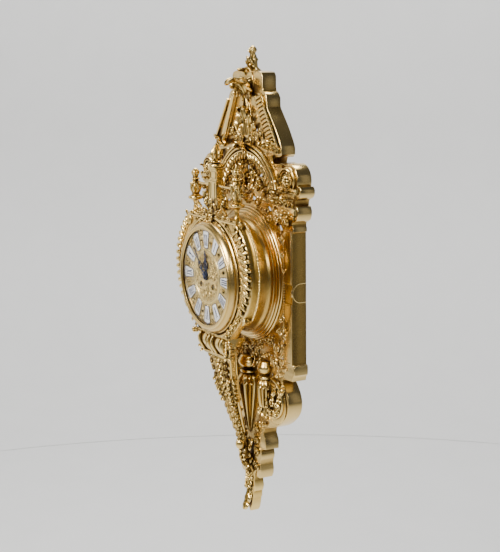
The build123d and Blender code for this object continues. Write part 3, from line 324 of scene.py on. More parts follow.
def turned(profile, sides=32, flutes=0, depth=0.0, twist=0.0, each=4):
    # turned about the up axis; the profile lists (radius, height)
    p = smooth(profile, each) if each > 1 else np.array(profile, float)
    a = np.linspace(0, 2 * math.pi, max(sides, flutes * 6), endpoint=False)[None]
    rise = (p[:, 1:2] - p[0, 1]) / (p[-1, 1] - p[0, 1])
    wave = 1 + depth * np.cos(flutes * a + twist * rise) * np.sin(np.pi * np.clip(rise, 0.02, 0.98)) ** 0.3
    r = np.maximum(p[:, :1], 0.05) * wave
    return [np.stack([r * np.cos(a), p[:, 1:2] + 0 * a, r * np.sin(a)], -1)]


def scrollWork(radius, turns=1.2, leaves=4, width=0.17, start=-80, leafSize=0.75, petals=5, curl=0.7,
               lift=0.0):
    # a stem that winds in to a rosette, with acanthus leaves along its outer side
    path = spiral(radius, radius * 0.26, start, start + 360 * turns, int(30 * turns) + 8)
    s = np.linspace(0, 1, len(path))
    path[:, 2] = lift * radius * s
    shells = stem(path, radius * width * 1.3, radius * width * 1.5, channelSection, 0.5)
    for k in range(leaves):
        at = int((0.02 + 0.72 * k / max(leaves - 1, 1)) * (len(path) - 1))
        way = path[min(at + 1, len(path) - 1)] - path[at]
        turn = math.degrees(math.atan2(way[1], way[0])) - 90 - 38
        long = radius * leafSize * (1 - 0.45 * at / len(path))
        shells += lay(leaf(long, long * 0.8, 3, curl, 0.25, -0.5), path[at][0], path[at][1], radius * 0.04,
                      turn)
    return shells + lay(rosette(radius * 0.36, petals), out=radius * (lift + 0.08))


def spray(count, length, width, spread, curl=1.0, rise=0.2, lobes=3, fall=0.35):
    # leaves fanned out from one root, the middle one longest
    shells = []
    for k in range(count):
        side = 0 if count == 1 else 2 * k / (count - 1) - 1
        long = length * (1 - fall * abs(side))
        shells += lay(leaf(long, width * (1 - 0.25 * abs(side)), lobes, curl, rise, side * 0.5),
                      turn=-side * spread / 2)
    return shells


def sprigs(piece, rows, y, share, curl=0.8, rise=0.2, side=0):
    # leaves at (x, z, length, turn), on both halves unless a side is named
    for x, z, length, turn in rows:
        shape = leaf(length, length * share, 3, curl, rise)
        if side:
            piece.add(shape, seat(side * x, y, z, side * turn, flip=side < 0))
        else:
            piece.add(shape, seat(x, y, z, turn), both=True)


def scrolls(piece, rows, y, lift=0.2):
    # scrolls on both halves at (x, z, radius, turns, start angle, mirrored)
    for x, z, radius, turns, start, flip in rows:
        shape = scrollWork(radius, turns, 5, 0.2, start, 0.8, lift=lift)
        piece.add(shape, seat(x, y, z, flip=flip), both=True)


def along(path, spacing):
    # places at even steps along a path, each with its heading in degrees
    path = np.asarray(path, float)
    run = np.concatenate([[0], np.cumsum(np.linalg.norm(np.diff(path, axis=0), axis=1))])
    count = max(int(round(run[-1] / spacing)), 1)
    stops = (np.arange(count) + 0.5) * run[-1] / count
    found = np.stack([np.interp(stops, run, path[:, k]) for k in range(path.shape[1])], 1)
    ahead = np.stack([np.interp(stops + 0.1, run, path[:, k]) for k in range(path.shape[1])], 1)
    behind = np.stack([np.interp(stops - 0.1, run, path[:, k]) for k in range(path.shape[1])], 1)
    way = ahead - behind
    return [(p, math.degrees(math.atan2(w[1], w[0]))) for p, w in zip(found, way)]


def arc(x, z, radius, start, stop, count=12):
    a = np.radians(np.linspace(start, stop, count))
    return [(x + radius * math.cos(k), z + radius * math.sin(k)) for k in a]


def toward(angle):
    # cosine and sine of an angle in degrees
    a = math.radians(angle)
    return math.cos(a), math.sin(a)


def box(left, right, low, high):
    return [(left, low), (right, low), (right, high), (left, high)]


def asDrawn(shape):
    # for what is drawn at its own place on the clock
    return shape


def mirrored(half):
    # whole outline from its right-hand half, listed top to bottom
    return list(half) + [(-x, z) for x, z in reversed(half) if x > 0.01]


# Finishes

class Shade:
    # wraps a shader socket, so that sums on it are written as sums
    def __init__(self, finish, socket):
        self.finish = finish
        self.socket = socket

    def math(self, operation, *others, reverse=False):
        values = [self, *others]
        return self.finish.node("ShaderNodeMath", {"operation": operation}, dict(enumerate(
            values[::-1] if reverse else values)))[0]

    def __add__(self, other):
        return self.math("ADD", other)

    def __sub__(self, other):
        return self.math("SUBTRACT", other)

    def __rsub__(self, other):
        return self.math("SUBTRACT", other, reverse=True)

    def __mul__(self, other):
        return self.math("MULTIPLY", other)

    __radd__ = __add__

    def between(self, low, high):
        # 0 below low, 1 above high
        return self.finish.node("ShaderNodeMapRange", {"interpolation_type": "SMOOTHSTEP"}, {
            "Value": self, "From Min": low, "From Max": high})[0]


class Finish:
    def __init__(self, name, **surface):
        self.material = bpy.data.materials.new(name)
        self.material.use_nodes = True
        self.tree = self.material.node_tree
        self.surface = self.tree.nodes["Principled BSDF"]
        for socket, value in surface.items():
            self.surface.inputs[socket].default_value = value
        self.place = self.node("ShaderNodeTexCoord")["Object"]

    def node(self, kind, settings=None, sockets=None):
        node = self.tree.nodes.new(kind)
        for setting, value in (settings or {}).items():
            setattr(node, setting, value)
        for socket, value in (sockets or {}).items():
            self.feed(node.inputs[socket], value)
        return Outputs(self, node)

    def feed(self, socket, value):
        if isinstance(value, Shade):
            self.tree.links.new(value.socket, socket)
        elif hasattr(value, "__len__") and len(value) == 3 and socket.type == "RGBA":
            socket.default_value = (*value, 1)
        else:
            socket.default_value = value

    def noise(self, scale, detail=3.0, roughness=0.55, stretch=None):
        where = self.place
        if stretch:
            where = self.node("ShaderNodeMapping", None, {"Vector": where, "Scale": stretch})[0]
        return self.node("ShaderNodeTexNoise", None, {
            "Vector": where, "Scale": scale, "Detail": detail, "Roughness": roughness})[0]

    def mix(self, share, first, second):
        # Mix has a set of sockets for each kind of value: 6 and 7 are its colours
        return self.node("ShaderNodeMix", {"data_type": "RGBA"}, {0: share, 6: first, 7: second})[2]

    def done(self, bump=None, strength=0.3, depth=0.0004, **sockets):
        for socket, value in sockets.items():
            self.feed(self.surface.inputs[socket.replace("_", " ")], value)
        if bump is not None:
            normal = self.node("ShaderNodeBump", None,
                               {"Height": bump, "Strength": strength, "Distance": depth})[0]
            self.feed(self.surface.inputs["Normal"], normal)
        return self.material


class Outputs:
    def __init__(self, finish, node):
        self.finish = finish
        self.node = node

    def __getitem__(self, which):
        return Shade(self.finish, self.node.outputs[which])


# light is a painted highlight colour for proud parts, deep a painted shade colour for hollows and occluded
# places; the two shade weights set how strongly that shade is painted
giltLooks = {
    "giltOrnament": {"light": (1.0, 0.73, 0.26), "body": (0.74, 0.46, 0.10), "deep": (0.085, 0.038, 0.006),
                     "rough": 0.28, "hollowWeight": 1.9, "depthWeight": 2.3, "reach": 0.017, "bump": 0.22},
    "giltSmooth": {"light": (0.90, 0.65, 0.25), "body": (0.66, 0.43, 0.12), "deep": (0.15, 0.066, 0.012),
                   "rough": 0.27, "hollowWeight": 1.2, "depthWeight": 1.2, "reach": 0.02, "bump": 0.12},
    "giltDial": {"light": (1.0, 0.78, 0.33), "body": (0.70, 0.46, 0.12), "deep": (0.09, 0.042, 0.007),
                 "rough": 0.34, "hollowWeight": 2.6, "depthWeight": 2.2, "reach": 0.003, "bump": 0.25},
}


def giltFinish(name):
    look = giltLooks[name]
    finish = Finish(name, Metallic=1.0)
    hollow = finish.node("ShaderNodeAttribute", {"attribute_name": "hollow"})["Fac"]
    # ambient occlusion read into the colour: painted shade where other surfaces come close
    unoccluded = finish.node("ShaderNodeAmbientOcclusion", {"samples": 5}, {"Distance": look["reach"]})["AO"]
    cloud = finish.noise(38.0, 4)
    fine = finish.noise(900.0, 3)
    # painted shade: hollows and occluded places are mixed towards the deep colour; painted highlight: proud
    # parts are mixed towards the light colour; the cloud noise adds random tone
    dark = (hollow - 0.5) * look["hollowWeight"] + (1 - unoccluded) * look["depthWeight"] + (cloud - 0.5) * 0.35
    recessShade = dark.between(0.02, 0.85)
    proudHighlight = ((0.5 - hollow) * 2.2 + unoccluded * 0.25 + (cloud - 0.5) * 0.3).between(0.15, 0.75)
    colour = finish.mix(recessShade, finish.mix(proudHighlight, look["body"], look["light"]), look["deep"])
    rough = look["rough"] + recessShade * 0.26 + (fine - 0.5) * 0.14 + (cloud - 0.5) * 0.12 - proudHighlight * 0.06
    pores = finish.noise(2600.0, 2) * 0.3 + fine * 0.7
    return finish.done(pores, look["bump"], 0.00025, Base_Color=colour, Roughness=rough)


def metalFinish(name, light, dark, rough, grain, stretch, bump=0.1):
    finish = Finish(name, Metallic=1.0)
    streak = finish.noise(grain, 3, 0.6, stretch)
    cloud = finish.noise(45.0, 3)
    share = (streak * 0.6 + cloud * 0.6).between(0.35, 0.85)
    return finish.done(streak, bump, 0.0001, Base_Color=finish.mix(share, dark, light),
                       Roughness=rough + (streak - 0.5) * 0.2 + (cloud - 0.5) * 0.1)


def enamelFinish():
    finish = Finish("whiteEnamel", IOR=1.5)
    finish.surface.inputs["Coat Weight"].default_value = 0.6
    finish.surface.inputs["Coat Roughness"].default_value = 0.08
    cloud = finish.noise(160.0, 3)
    speck = finish.noise(2400.0, 2).between(0.72, 0.8)
    colour = finish.mix(cloud, (0.80, 0.79, 0.76), (0.90, 0.90, 0.88))
    return finish.done(cloud, 0.12, 0.0002, Base_Color=finish.mix(speck * 0.35, colour, (0.35, 0.33, 0.30)),
                       Roughness=0.18 + cloud * 0.1)


def blueEnamelFinish():
    finish = Finish("blueEnamel", IOR=1.5)
    cloud = finish.noise(700.0, 3)
    return finish.done(cloud, 0.1, 0.0001,
                       Base_Color=finish.mix(cloud, (0.004, 0.008, 0.045), (0.014, 0.025, 0.1)),
                       Roughness=0.2 + cloud * 0.15)


def glassFinish():
    finish = Finish("dialGlass", IOR=1.02)
    finish.surface.inputs["Transmission Weight"].default_value = 1.0
    finish.surface.inputs["Coat Weight"].default_value = 1.0
    smear = finish.noise(60.0, 3)
    return finish.done(None, Alpha=smear.between(0.5, 0.9) * 0.05 + 0.13,
                       Base_Color=finish.mix(smear, (0.96, 0.98, 0.97), (1.0, 1.0, 1.0)),
                       Roughness=smear.between(0.55, 0.9) * 0.02 + 0.004)


def floorFinish():
    finish = Finish("paleFloor")
    cloud = finish.noise(6.0, 4)
    return finish.done(finish.noise(90.0, 3), 0.05, 0.001, Roughness=0.55 + cloud * 0.1,
                       Base_Color=finish.mix(cloud, (0.74, 0.74, 0.73), (0.80, 0.80, 0.79)))


giltOrnament = giltFinish("giltOrnament")
giltSmooth = giltFinish("giltSmooth")
giltDial = giltFinish("giltDial")
finishes = {
    "gilt_bronze": giltOrnament,
    "gilt_smooth": giltSmooth,
    "gilt_dial": giltDial,
    "white_enamel": enamelFinish(),
    "glass": glassFinish(),
    "blued_steel": metalFinish("bluedSteel", (0.035, 0.05, 0.13), (0.012, 0.014, 0.03), 0.26, 300.0,
                               (1, 1, 6)),
    "movement_brass": metalFinish("movementBrass", (0.86, 0.66, 0.30), (0.66, 0.46, 0.17), 0.3, 420.0,
                                  (1, 1, 9)),
    "steel": metalFinish("brightSteel", (0.62, 0.62, 0.63), (0.42, 0.42, 0.44), 0.26, 500.0, (1, 1, 12)),
    "bell_metal": metalFinish("bellMetal", (0.70, 0.52, 0.27), (0.45, 0.30, 0.13), 0.3, 160.0, (1, 6, 1)),
}
blueEnamel = blueEnamelFinish()

for part in frame["record"]["subparts"]:
    for holder in frame["nodes"][part["node"]].material_slots:
        holder.material = finishes[part["material_slot"]]
print("stage: finishes made")


# Back frame: smooth hollow band, pierced web, and the foliage cast on the web

frameLook = {"depth": 26.5, "wall": 3.5, "webThickness": 3.0, "rounding": 1.2, "strip": (119.5, 136.5),
             "beadRadius": 1.7, "beadSpacing": 4.2}


def frameOutline():
    half = [(0, 334), (38, 334), (44.5, 332.5), (47, 329), (47, 310), (49.5, 303), (56, 300), (60.5, 294),
            (61, 281), (63, 276), (75, 262), (89, 244.5), (99, 229.5), (104, 221), (106, 216), (106, 208),
            (103, 205.5), (88, 205), (83, 201), (80, 192), (81, 184), (86, 180), (95, 184), (108, 190)]
    half += arc(133, 168, 22.5, 118, -28, 18)
    half += [(154, 156.5), (163, 156), (165, 153.5), (165, 149), (162, 145), (156, 142.5), (150, 140),
             (148, 136),
             (147, 129), (149, 126), (154, 124.5), (156.3, 120), (156, 114.5), (153, 108.5), (147, 105.5),
             (141, 103.5), (139.3, 99), (139.3, 93), (141, 90.5), (141, 87.5), (138, 85.5), (138, -131),
             (139, -134), (142.5, -136), (143, -141), (142.5, -147), (139.5, -150), (137.5, -153),
             (137, -156),
             (112, -157.5), (106, -161), (104.5, -166), (106, -170)]
    half += smooth([(110, -173), (120, -186), (125, -201), (121, -217), (108, -231), (86, -245),
                    (58, -255)], 4).tolist()
    half += [(47, -258), (42, -264), (41.5, -273), (46, -280), (48.5, -286), (48, -295), (35, -297),
             (31.5, -303),
             (34, -310), (33.5, -316), (30, -321), (29, -330), (31, -338), (30, -346), (27, -351), (0, -351)]
    return half


def inset(outline, by):
    # moves every side of an outline inward
    p = np.array(outline, float)
    ahead = np.roll(p, -1, 0) - p
    ahead /= np.maximum(np.linalg.norm(ahead, axis=1, keepdims=True), 1e-9)
    normal = np.stack([ahead[:, 1], -ahead[:, 0]], 1)
    area = (p[:, 0] * np.roll(p[:, 1], -1) - p[:, 1] * np.roll(p[:, 0], -1)).sum()
    normal *= -1 if area > 0 else 1
    both = normal + np.roll(normal, 1, 0)
    both /= np.maximum((both * both).sum(1, keepdims=True) / 2, 0.55)
    return [tuple(q) for q in p - both * by]


def gap(x, z, length, width, turn=0):
    # leaf-shaped opening
    points = []
    for a in np.linspace(0, 2 * math.pi, 16, endpoint=False):
        u, v = width / 2 * math.sin(a) * (0.75 + 0.25 * math.cos(a)), length / 2 * math.cos(a)
        c, s = toward(turn)
        points.append((x + u * c - v * s, z + u * s + v * c))
    return points


webGaps = [(116.5, 54, 15, 7, 8), (116.5, 72, 15, 8, -6), (106, 88, 14, 9, 50), (113, -80, 17, 10, -5),
           (111, -102, 17, 10, 8), (106, -125, 18, 11, -20), (84, -112, 14, 9, 60), (91, 121, 13, 10, 40),
           (70, 116, 12, 8, 70), (42, 165, 34, 14, -8), (66, 178, 22, 9, 20), (99, 169, 18, 10, -30),
           (74, -134, 14, 10, 30), (30, -128, 24, 13, 10), (20, 128, 16, 9, 80), (118, 128, 14, 8, 10),
           (60, -178, 16, 9, -20), (28, 238, 16, 8, -30), (74, -164, 12, 7, 0)]


def backFrame():
    look = frameLook
    piece = Casting()
    outline = mirrored(frameOutline())
    piece.plate([outline, inset(outline, look["wall"])], webFront, 0, look["rounding"])
    holes = [gap(*place) for place in webGaps] + [[(-x, z) for x, z in gap(*place)] for place in webGaps]
    holes += [gap(0, 178, 14, 8), arc(0, 0, 82, 0, 354, 60)]
    piece.plate([inset(outline, look["wall"] * 0.5), *holes], webFront, webFront + look["webThickness"], 0.5)
    low, high = look["strip"]
    for bottom, top in ((-129, -36), (4, 84)):
        frameRun = box(low, high, bottom, top)
        piece.plate([frameRun, inset(frameRun, 2.6)], webFront - 2.0, webFront, 0.7, both=True)
        piece.plate([inset(frameRun, 4.4)], webFront - 1.5, webFront, 0.6, both=True)
    for z in np.arange(-128, 86, look["beadSpacing"]):
        piece.add(ball(look["beadRadius"], sides=8, rows=5), seat(low - 2.6, webFront - 1.2, z), both=True)
    sideBosses(piece)
    webFoliage(piece)
    piece.cast("backFrame", giltSmooth, ["back_frame"])


def sideBosses(piece):
    # round-ended frame on each outside wall, and the ledges above and below it
    run = [(138.6, -1, 1.5), (138.6, -11, 1.5)]
    run += [(138.6, -11 - 14.5 * math.sin(a), -14 + 15.5 * math.cos(a))
            for a in np.linspace(0.1, math.pi - 0.1, 16)]
    run += [(138.6, -11, -29.5), (138.6, -1, -29.5)]
    piece.add([sweep(run, 2.4, 3.2, roundSection(), (1, 0, 0))], asDrawn, both=True)
    inner = [(138.3, -12 + 0.62 * (y + 12), -14 + 0.66 * (z + 14)) for _, y, z in run]
    piece.add([sweep(inner, 0.9, 0.9, roundSection(8), (1, 0, 0))], asDrawn, both=True)
    for z in (5.5, -34.5):
        ledge = [(138.4, y, z) for y in (-26, -13, -0.5)]
        piece.add([sweep(ledge, 1.7, 1.5, bandSection, (1, 0, 0))], asDrawn, both=True)


# scrolls on the right half of the web: x, z, radius, turns, start angle, mirrored
webScrolls = [(98, 113, 15, 1.15, -120, False), (76, 136, 11, 1.1, 60, True), (112, 140, 9, 1.0, -60, False),
              (60, 112, 9, 1.0, 150, True), (100, -112, 15, 1.15, 120, True), (84, -138, 12, 1.1, -40, False),
              (116, -88, 8.5, 1.0, 90, False), (113, -134, 10, 1.0, 200, True), (72, -108, 8, 1.0, 0, False),
              (117, 80, 8, 1.0, -90, True), (58, 196, 9, 1.1, 30, False), (50, -150, 9, 1.0, 180, False),
              (96, -152, 9, 1.0, 20, True), (12, 132, 11, 1.1, 60, False), (34, 122, 10, 1.1, 200, True),
              (14, 156, 9, 1.0, -60, True), (52, 142, 9, 1.0, 90, False), (14, -116, 11, 1.1, 150, False),
              (37, -112, 9, 1.0, 20, True), (56, -104, 8, 1.0, 100, False), (10, -138, 9, 1.0, 0, True)]
# single leaves: x, z, length, turn
webLeaves = [(118, 58, 20, 18), (117, 36, 18, 12), (118, 100, 20, 40), (117, -46, 20, 170),
             (118, -66, 22, 165),
             (112, -70, 18, 140), (88, 104, 18, 100), (106, 96, 16, 60), (90, 132, 18, 20), (68, 124, 16, 50),
             (62, 150, 20, 10), (94, 150, 16, -10), (88, -100, 18, 80), (106, -146, 18, 150),
             (70, -124, 18, 120),
             (92, -124, 16, 200), (64, -140, 16, 160), (40, -132, 22, 175), (116, -150, 14, 120),
             (80, 150, 15, -30),
             (24, 142, 18, 60), (4, 118, 20, 10), (26, -124, 20, 160), (46, -116, 16, 120),
             (4, -106, 18, 175),
             (52, 128, 16, 80), (36, 138, 16, 40), (74, 196, 18, 150), (20, -140, 20, 190), (118, 12, 12, 5)]


def webFoliage(piece):
    scrolls(piece, webScrolls, webFront + 0.4, 0.18)
    sprigs(piece, webLeaves, webFront + 0.4, 0.6)


backFrame()


# Gable: rakes, crown, acanthus, spire and the ribbed arch

gableLook = {"gadroons": 13, "gadroonSize": 10.0, "beadRadius": 2.0, "beads": 19}


def between(a, b, count):
    # evenly spaced places from a to b
    return [tuple(np.array(a) + (np.array(b) - np.array(a)) * k) for k in np.linspace(0, 1, count)]


def rakeStrip(piece, side, a, b, width, height, lift, profile=bandSection):
    run = [(side * x, webFront - lift, z) for x, z in between(a, b, 12)]
    piece.add([sweep(run, width / 2, height, profile, (0, -1, 0))], asDrawn)


def gableRake(side, name, node):
    look = gableLook
    piece = Casting()
    slope = [(30, 303), (44, 303), (56, 297), (61, 277), (104, 218), (104, 208), (80, 208), (66, 226)]
    piece.plate([[(side * x, z) for x, z in slope]], webFront - 3.5, webFront, 0.8)
    if side > 0:
        rakeStrip(piece, side, (61, 281), (105, 219), 3.2, 2.0, 3.4)
        rakeStrip(piece, side, (33, 297), (72, 224), 2.6, 2.6, 3.0, ridgeSection)
        slant = -math.degrees(math.atan2(42, 64))
        for x, z in between((42, 295), (88, 221), look["gadroons"]):
            size = look["gadroonSize"] * (1 + 0.25 * (295 - z) / 74)
            piece.add(ball(1, (1.15, 0.30, 0.36), 10, 7),
                      seat(x, webFront - 3.6, z, 25 + slant * 0.1, size=size))
            tip = seat(x + size * 0.86, webFront - 4.2, z + size * 0.42, 25)
            piece.add(ball(size * 0.2, sides=8, rows=5), tip)
        for x, z in between((55, 292), (98, 226), 24):
            piece.add(ball(1.1, sides=7, rows=5), seat(x, webFront - 4.0, z))
    else:
        for a, b, width, height in (((57, 290), (101, 224), 4.0, 3.6), ((44, 296), (84, 222), 10.0, 1.4),
                                    ((35, 297), (70, 226), 2.6, 3.4)):
            rakeStrip(piece, side, a, b, width, height, 3.0)
        for x, z in between((60.5, 288), (105, 221), look["beads"]):
            piece.add(ball(look["beadRadius"], (1, 1, 1), 8, 6), seat(side * x, webFront - 4.8, z))
            piece.add(ball(look["beadRadius"], (1, 1, 1), 8, 6), seat(side * x, webFront + 1.5, z))
    sprigs(piece, ((94, 213, 22, 20), (86, 211, 20, 60), (74, 218, 20, 80)), webFront - 3, 0.6, 1.4, 0.3,
           side)
    piece.add(scrollWork(9, 1.1, 4, 0.22, -60, 0.7), seat(side * 92, webFront - 3, 216, flip=side < 0))
    piece.cast(name, giltOrnament, [node])


gableRake(-1, "gableRakeLeft", "gable_rake_left")
gableRake(1, "gableRakeRight", "gable_rake_right")


def tympanumCrest():
    # upright pointed panels under the crown, foliage at their foot
    piece = Casting()
    piece.plate([mirrored([(0, 294), (8, 286), (20, 258), (36, 236), (34, 226), (0, 228)])], webFront - 2,
                webFront, 0.6)
    for x, z, length, width, turn in ((0, 232, 48, 15, 0), (10, 230, 40, 13, -14), (20, 228, 30, 12, -26)):
        piece.add(leaf(length, width, 2, 0.5, 0.06, 0, 0.3), seat(x, webFront - 1.5, z, turn), both=x > 0)
    for side in (-1, 1):
        edge = smooth([(side * 3, 292, 0), (side * 9, 270, 0), (side * 19, 250, 0), (side * 31, 236, 0)], 8)
        path = [(x, webFront - 2.5, z) for x, z, _ in edge]
        piece.add([sweep(path, 1.6, 2.6, ridgeSection, (0, -1, 0))], asDrawn)
    # crown
    for x, turn, size in ((0, 0, 1.0), (5, -28, 0.85), (9, -58, 0.75), (9, -100, 0.6)):
        piece.add(leaf(17 * size, 11 * size, 2, 2.0, 0.5), seat(x, webFront - 3, 272, turn), both=x > 0)
    piece.add(rosette(6.5, 6), seat(0, webFront - 4, 272))
    for x in (4, 8.5, 13):
        piece.add(ball(2.0), seat(x, webFront - 6, 267 - 0.12 * x * x), both=True)
    piece.add(ball(2.2), seat(0, webFront - 8, 267))
    scrolls(piece, ((16, 226, 10, 1.15, -90, False), (34, 228, 8, 1.0, 40, True),
                    (48, 236, 8, 1.0, -60, False), (5, 216, 6, 1.0, 100, False)), webFront - 1)
    piece.cast("tympanumCrest", giltOrnament, ["tympanum_crest"])


tympanumCrest()


def apexFinial():
    # acanthus clump with a slender budded spire
    piece = Casting()
    piece.plate([mirrored([(0, 345), (9, 342), (19, 334), (26, 318), (15, 301), (0, 300)])], webFront - 2,
                webFront, 0.6)
    leaves = [(0, 298, 56, 20, 0, 2.6, 0.35), (8, 304, 34, 18, -34, 1.6, 0.3),
              (13, 303, 26, 16, -62, 1.5, 0.3),
              (15, 300, 18, 12, -95, 1.3, 0.3)]
    for x, z, length, width, turn, curl, rise in leaves:
        piece.add(leaf(length, width, 3, curl, rise, -0.25 if x else 0, 0.24),
                  seat(x, webFront - 1.5, z, turn), both=x > 0)
    piece.add(leaf(26, 15, 2, 2.4, 0.3, 0, 0.24), seat(0, webFront + 1, 328, 0))
    piece.add(rosette(6, 6, 5), seat(13, webFront - 3, 322), both=True)
    piece.add(spray(3, 12, 8, 70, 0.9, 0.3, 2), seat(0, webFront - 4, 299, 180))
    piece.plate([mirrored([(0, 366), (4, 362), (7.4, 350), (9, 338), (9, 330), (0, 330)])], -17, -10, 0.6)
    # spire: stem, collar, buds
    piece.add(turned([(0.1, 330), (10, 332), (13, 337), (9, 342), (6, 346), (6.5, 352), (8, 356), (5, 361),
                      (4, 366),
                      (6.2, 371), (4.5, 376), (0.1, 379)], 24, 6, 0.14), seat(0, -15, 0))
    piece.add(leaf(26, 11, 2, 0.4, 0.05), seat(0, -22, 336, 0))
    for turn, x in ((-20, 4), (20, -4)):
        piece.add(leaf(18, 10, 2, 0.5, 0.1), seat(x, -19, 338, turn))
    for facing in (-60, 0, 60):
        a = math.radians(facing)
        piece.add(leaf(10, 6, 2, 1.2, 0.2), outward(0, -15, 362, 4, facing))
        piece.add(ball(2.4), seat(5.5 * math.sin(a), -15 - 5.5 * math.cos(a), 373))
    piece.cast("apexFinial", giltOrnament, ["apex_finial"])


apexFinial()


archLook = {"centre": 113.0, "ribs": ((104.5, 2.6, 4.5), (98.5, 2.4, 5.5), (92.6, 2.2, 5.0)),
            "gadroonRing": 85.5,
            "gadroons": 21, "frill": 15}


def archRun(radius, lift, count=48, foot=150.0):
    # arc of the arch down to its legs' foot
    low = math.degrees(math.asin(min((foot - archLook["centre"]) / radius, 1)))
    return [(x, webFront - lift, z) for x, z in arc(0, archLook["centre"], radius, low, 180 - low, count)]


def archSurround():
    look = archLook
    piece = Casting()
    outer = [(x, z) for x, _, z in archRun(105, 0)]
    inner = [(x, z) for x, _, z in archRun(79, 0)]
    piece.plate([outer + inner[::-1]], webFront - 2.5, webFront, 0.6)
    for radius, width, height in look["ribs"]:
        piece.add([sweep(archRun(radius, 1.5), width, height, roundSection(10), (0, -1, 0))], asDrawn)
    low = math.degrees(math.asin((152 - look["centre"]) / look["gadroonRing"]))
    for k, a in enumerate(np.linspace(low, 180 - low, look["gadroons"])):
        c, s = toward(a)
        lean = 32 if a < 90 else -32
        piece.add(ball(1, (0.36, 1.1, 0.5), 10, 7),
                  seat(look["gadroonRing"] * c, webFront - 2.6, look["centre"] + look["gadroonRing"] * s,
                       a - 90 + lean,
                       size=8.2))
    for a in np.linspace(low - 2, 182 - low, look["frill"]):
        c, s = toward(a)
        piece.add(leaf(13, 9, 2, 1.7, 0.35),
                  seat(80 * c, webFront - 1.5, look["centre"] + 80 * s, a + 90 + (18 if a < 90 else -18)))
    for k in range(5):
        turn = (k - 2) * 30
        piece.add(leaf(24, 13, 3, 1.6, 0.4), seat(0, webFront - 4, 207, turn))
    piece.add(rosette(8, 6), seat(0, webFront - 6, 208))
    scrolls(piece, ((18, 170, 10, 1.15, -100, False), (34, 152, 9, 1.1, 90, True),
                    (22, 192, 8, 1.0, 60, True), (48, 160, 8, 1.0, -40, False)), webFront - 0.5)
    piece.add(leaf(44, 18, 4, 0.9, 0.12), seat(0, webFront - 1, 146))
    piece.add(spray(3, 22, 12, 90, 1.6, 0.35), seat(0, webFront - 3, 146))
    piece.cast("archSurround", giltOrnament, ["arch_surround"])


archSurround()
print("stage: gable made")


# Shoulders: volute with its rosette, cornice, capital

shoulderLook = {"place": (133.0, 168.0), "radius": 21.5}


def shoulder(side, name, node):
    look = shoulderLook
    piece = Casting()
    x, z = look["place"]
    disc = arc(x, z, look["radius"], 0, 354, 48)
    piece.plate([[(side * px, pz) for px, pz in disc]], webFront - 4.5, webFront, 1.2)
    face = seat(side * x, webFront - 4.5, z, flip=side < 0)
    roll = spiral(look["radius"] - 2, 6.5, 200, -340, 64)
    piece.add([sweep(roll, np.linspace(3.6, 1.6, 64), np.linspace(3.6, 2.0, 64), channelSection)], face)
    piece.add(rosette(9.5, 8, 5.5), face)
    piece.add(lay(rosette(4.2, 5, 4.5), out=3), face)
    for k in range(6):
        a = math.radians(150 + k * 42)
        piece.add(leaf(10, 7, 2, 1.5, 0.4),
                  seat(side * (x + 15 * math.cos(a)), webFront - 5, z + 15 * math.sin(a),
                                                side * (math.degrees(a) - 40), flip=side < 0))
    # the saddle that runs from the neck of the gable up to the volute
    saddle = smooth([(84, 204, 0), (86, 192, 0), (95, 189, 0), (108, 190, 0), (118, 188, 0)], 6)
    piece.add([sweep([(side * px, webFront - 2, pz) for px, pz, _ in saddle], 2.4, 3.0, ridgeSection,
                     (0, -1, 0))],
              asDrawn)
    levels = [(104, 163.5, 151, 156, 5.5), (106, 160, 146.5, 151, 3.5), (110, 150, 137, 146.5, 1.5),
              (108, 157, 114, 125.5, 6.0), (112, 147, 126, 137, 2.5), (112, 150, 106, 114, 3.0)]
    for inner, outer, bottom, top, stand in levels:
        piece.plate([box(side * inner, side * outer, bottom, top)], webFront - stand, webFront + 0.5,
                    min(1.4, stand * 0.4))
    capital = ((118, 128, 17, 30), (128, 126, 19, 5), (138, 127, 17, -25), (148, 130, 12, -60))
    sprigs(piece, capital, webFront - 4, 0.65, 1.2, 0.3, side)
    for px, pz, radius, start, flip in ((120, 118, 7.5, -40, False), (140, 117, 7.5, 180, True),
                                        (128, 100, 8, 90, True)):
        piece.add(scrollWork(radius, 1.1, 4, 0.22, start, 0.75, lift=0.2),
                  seat(side * px, webFront - 3.5, pz, flip=(side < 0) != flip))
    for px in np.arange(108, 160, 4.6):
        piece.add(ball(1.5, sides=8, rows=5), seat(side * px, webFront - 4.6, 148.8))
    for px, pz in ((108, 134), (104, 120)):
        piece.add(leaf(20, 11, 3, 1.4, 0.3), seat(side * px, webFront - 1, pz, side * 30, flip=side < 0))
    piece.cast(name, giltOrnament, [node])


shoulder(-1, "shoulderLeft", "shoulder_left")
shoulder(1, "shoulderRight", "shoulder_right")


# Foot of the frame: scroll lobes, reeded balusters, pendant

def baseScrolls():
    piece = Casting()
    x, z = 85, -206
    outer = spiral(36, 8, 100, -330, 80, (x, z))
    place = seat(0, webFront, 0)
    piece.plate([arc(x, z, 37, 0, 355, 60)], webFront - 2.5, webFront, 0.8, both=True)
    widths = np.linspace(5.5, 2.2, 80)
    lift = np.linspace(0, 4.5, 80)
    outer[:, 2] = lift + 2
    piece.add([sweep(outer, widths, widths * 0.8, channelSection)], place, both=True)
    piece.add(lay(rosette(8, 7, 5), x, z, 5), place, both=True)
    for k in range(7):
        a = 95 - k * 48
        r = 27 - k * 1.8
        length = 25 - k * 1.6
        c, s = toward(a)
        spot = seat(x + r * c, webFront - 3, z + r * s, a - 190)
        piece.add(leaf(length, length * 0.72, 3, 0.8, 0.25, 0.9), spot, both=True)
    sprigs(piece, ((112, -168, 22, -150), (98, -166, 20, 170), (66, -240, 26, 60), (52, -232, 22, 20),
                   (54, -178, 22, 200), (46, -206, 24, 190), (60, -250, 18, 100)), webFront - 2, 0.62)
    piece.cast("baseScrolls", giltOrnament, ["base_scrolls"])


baseScrolls()


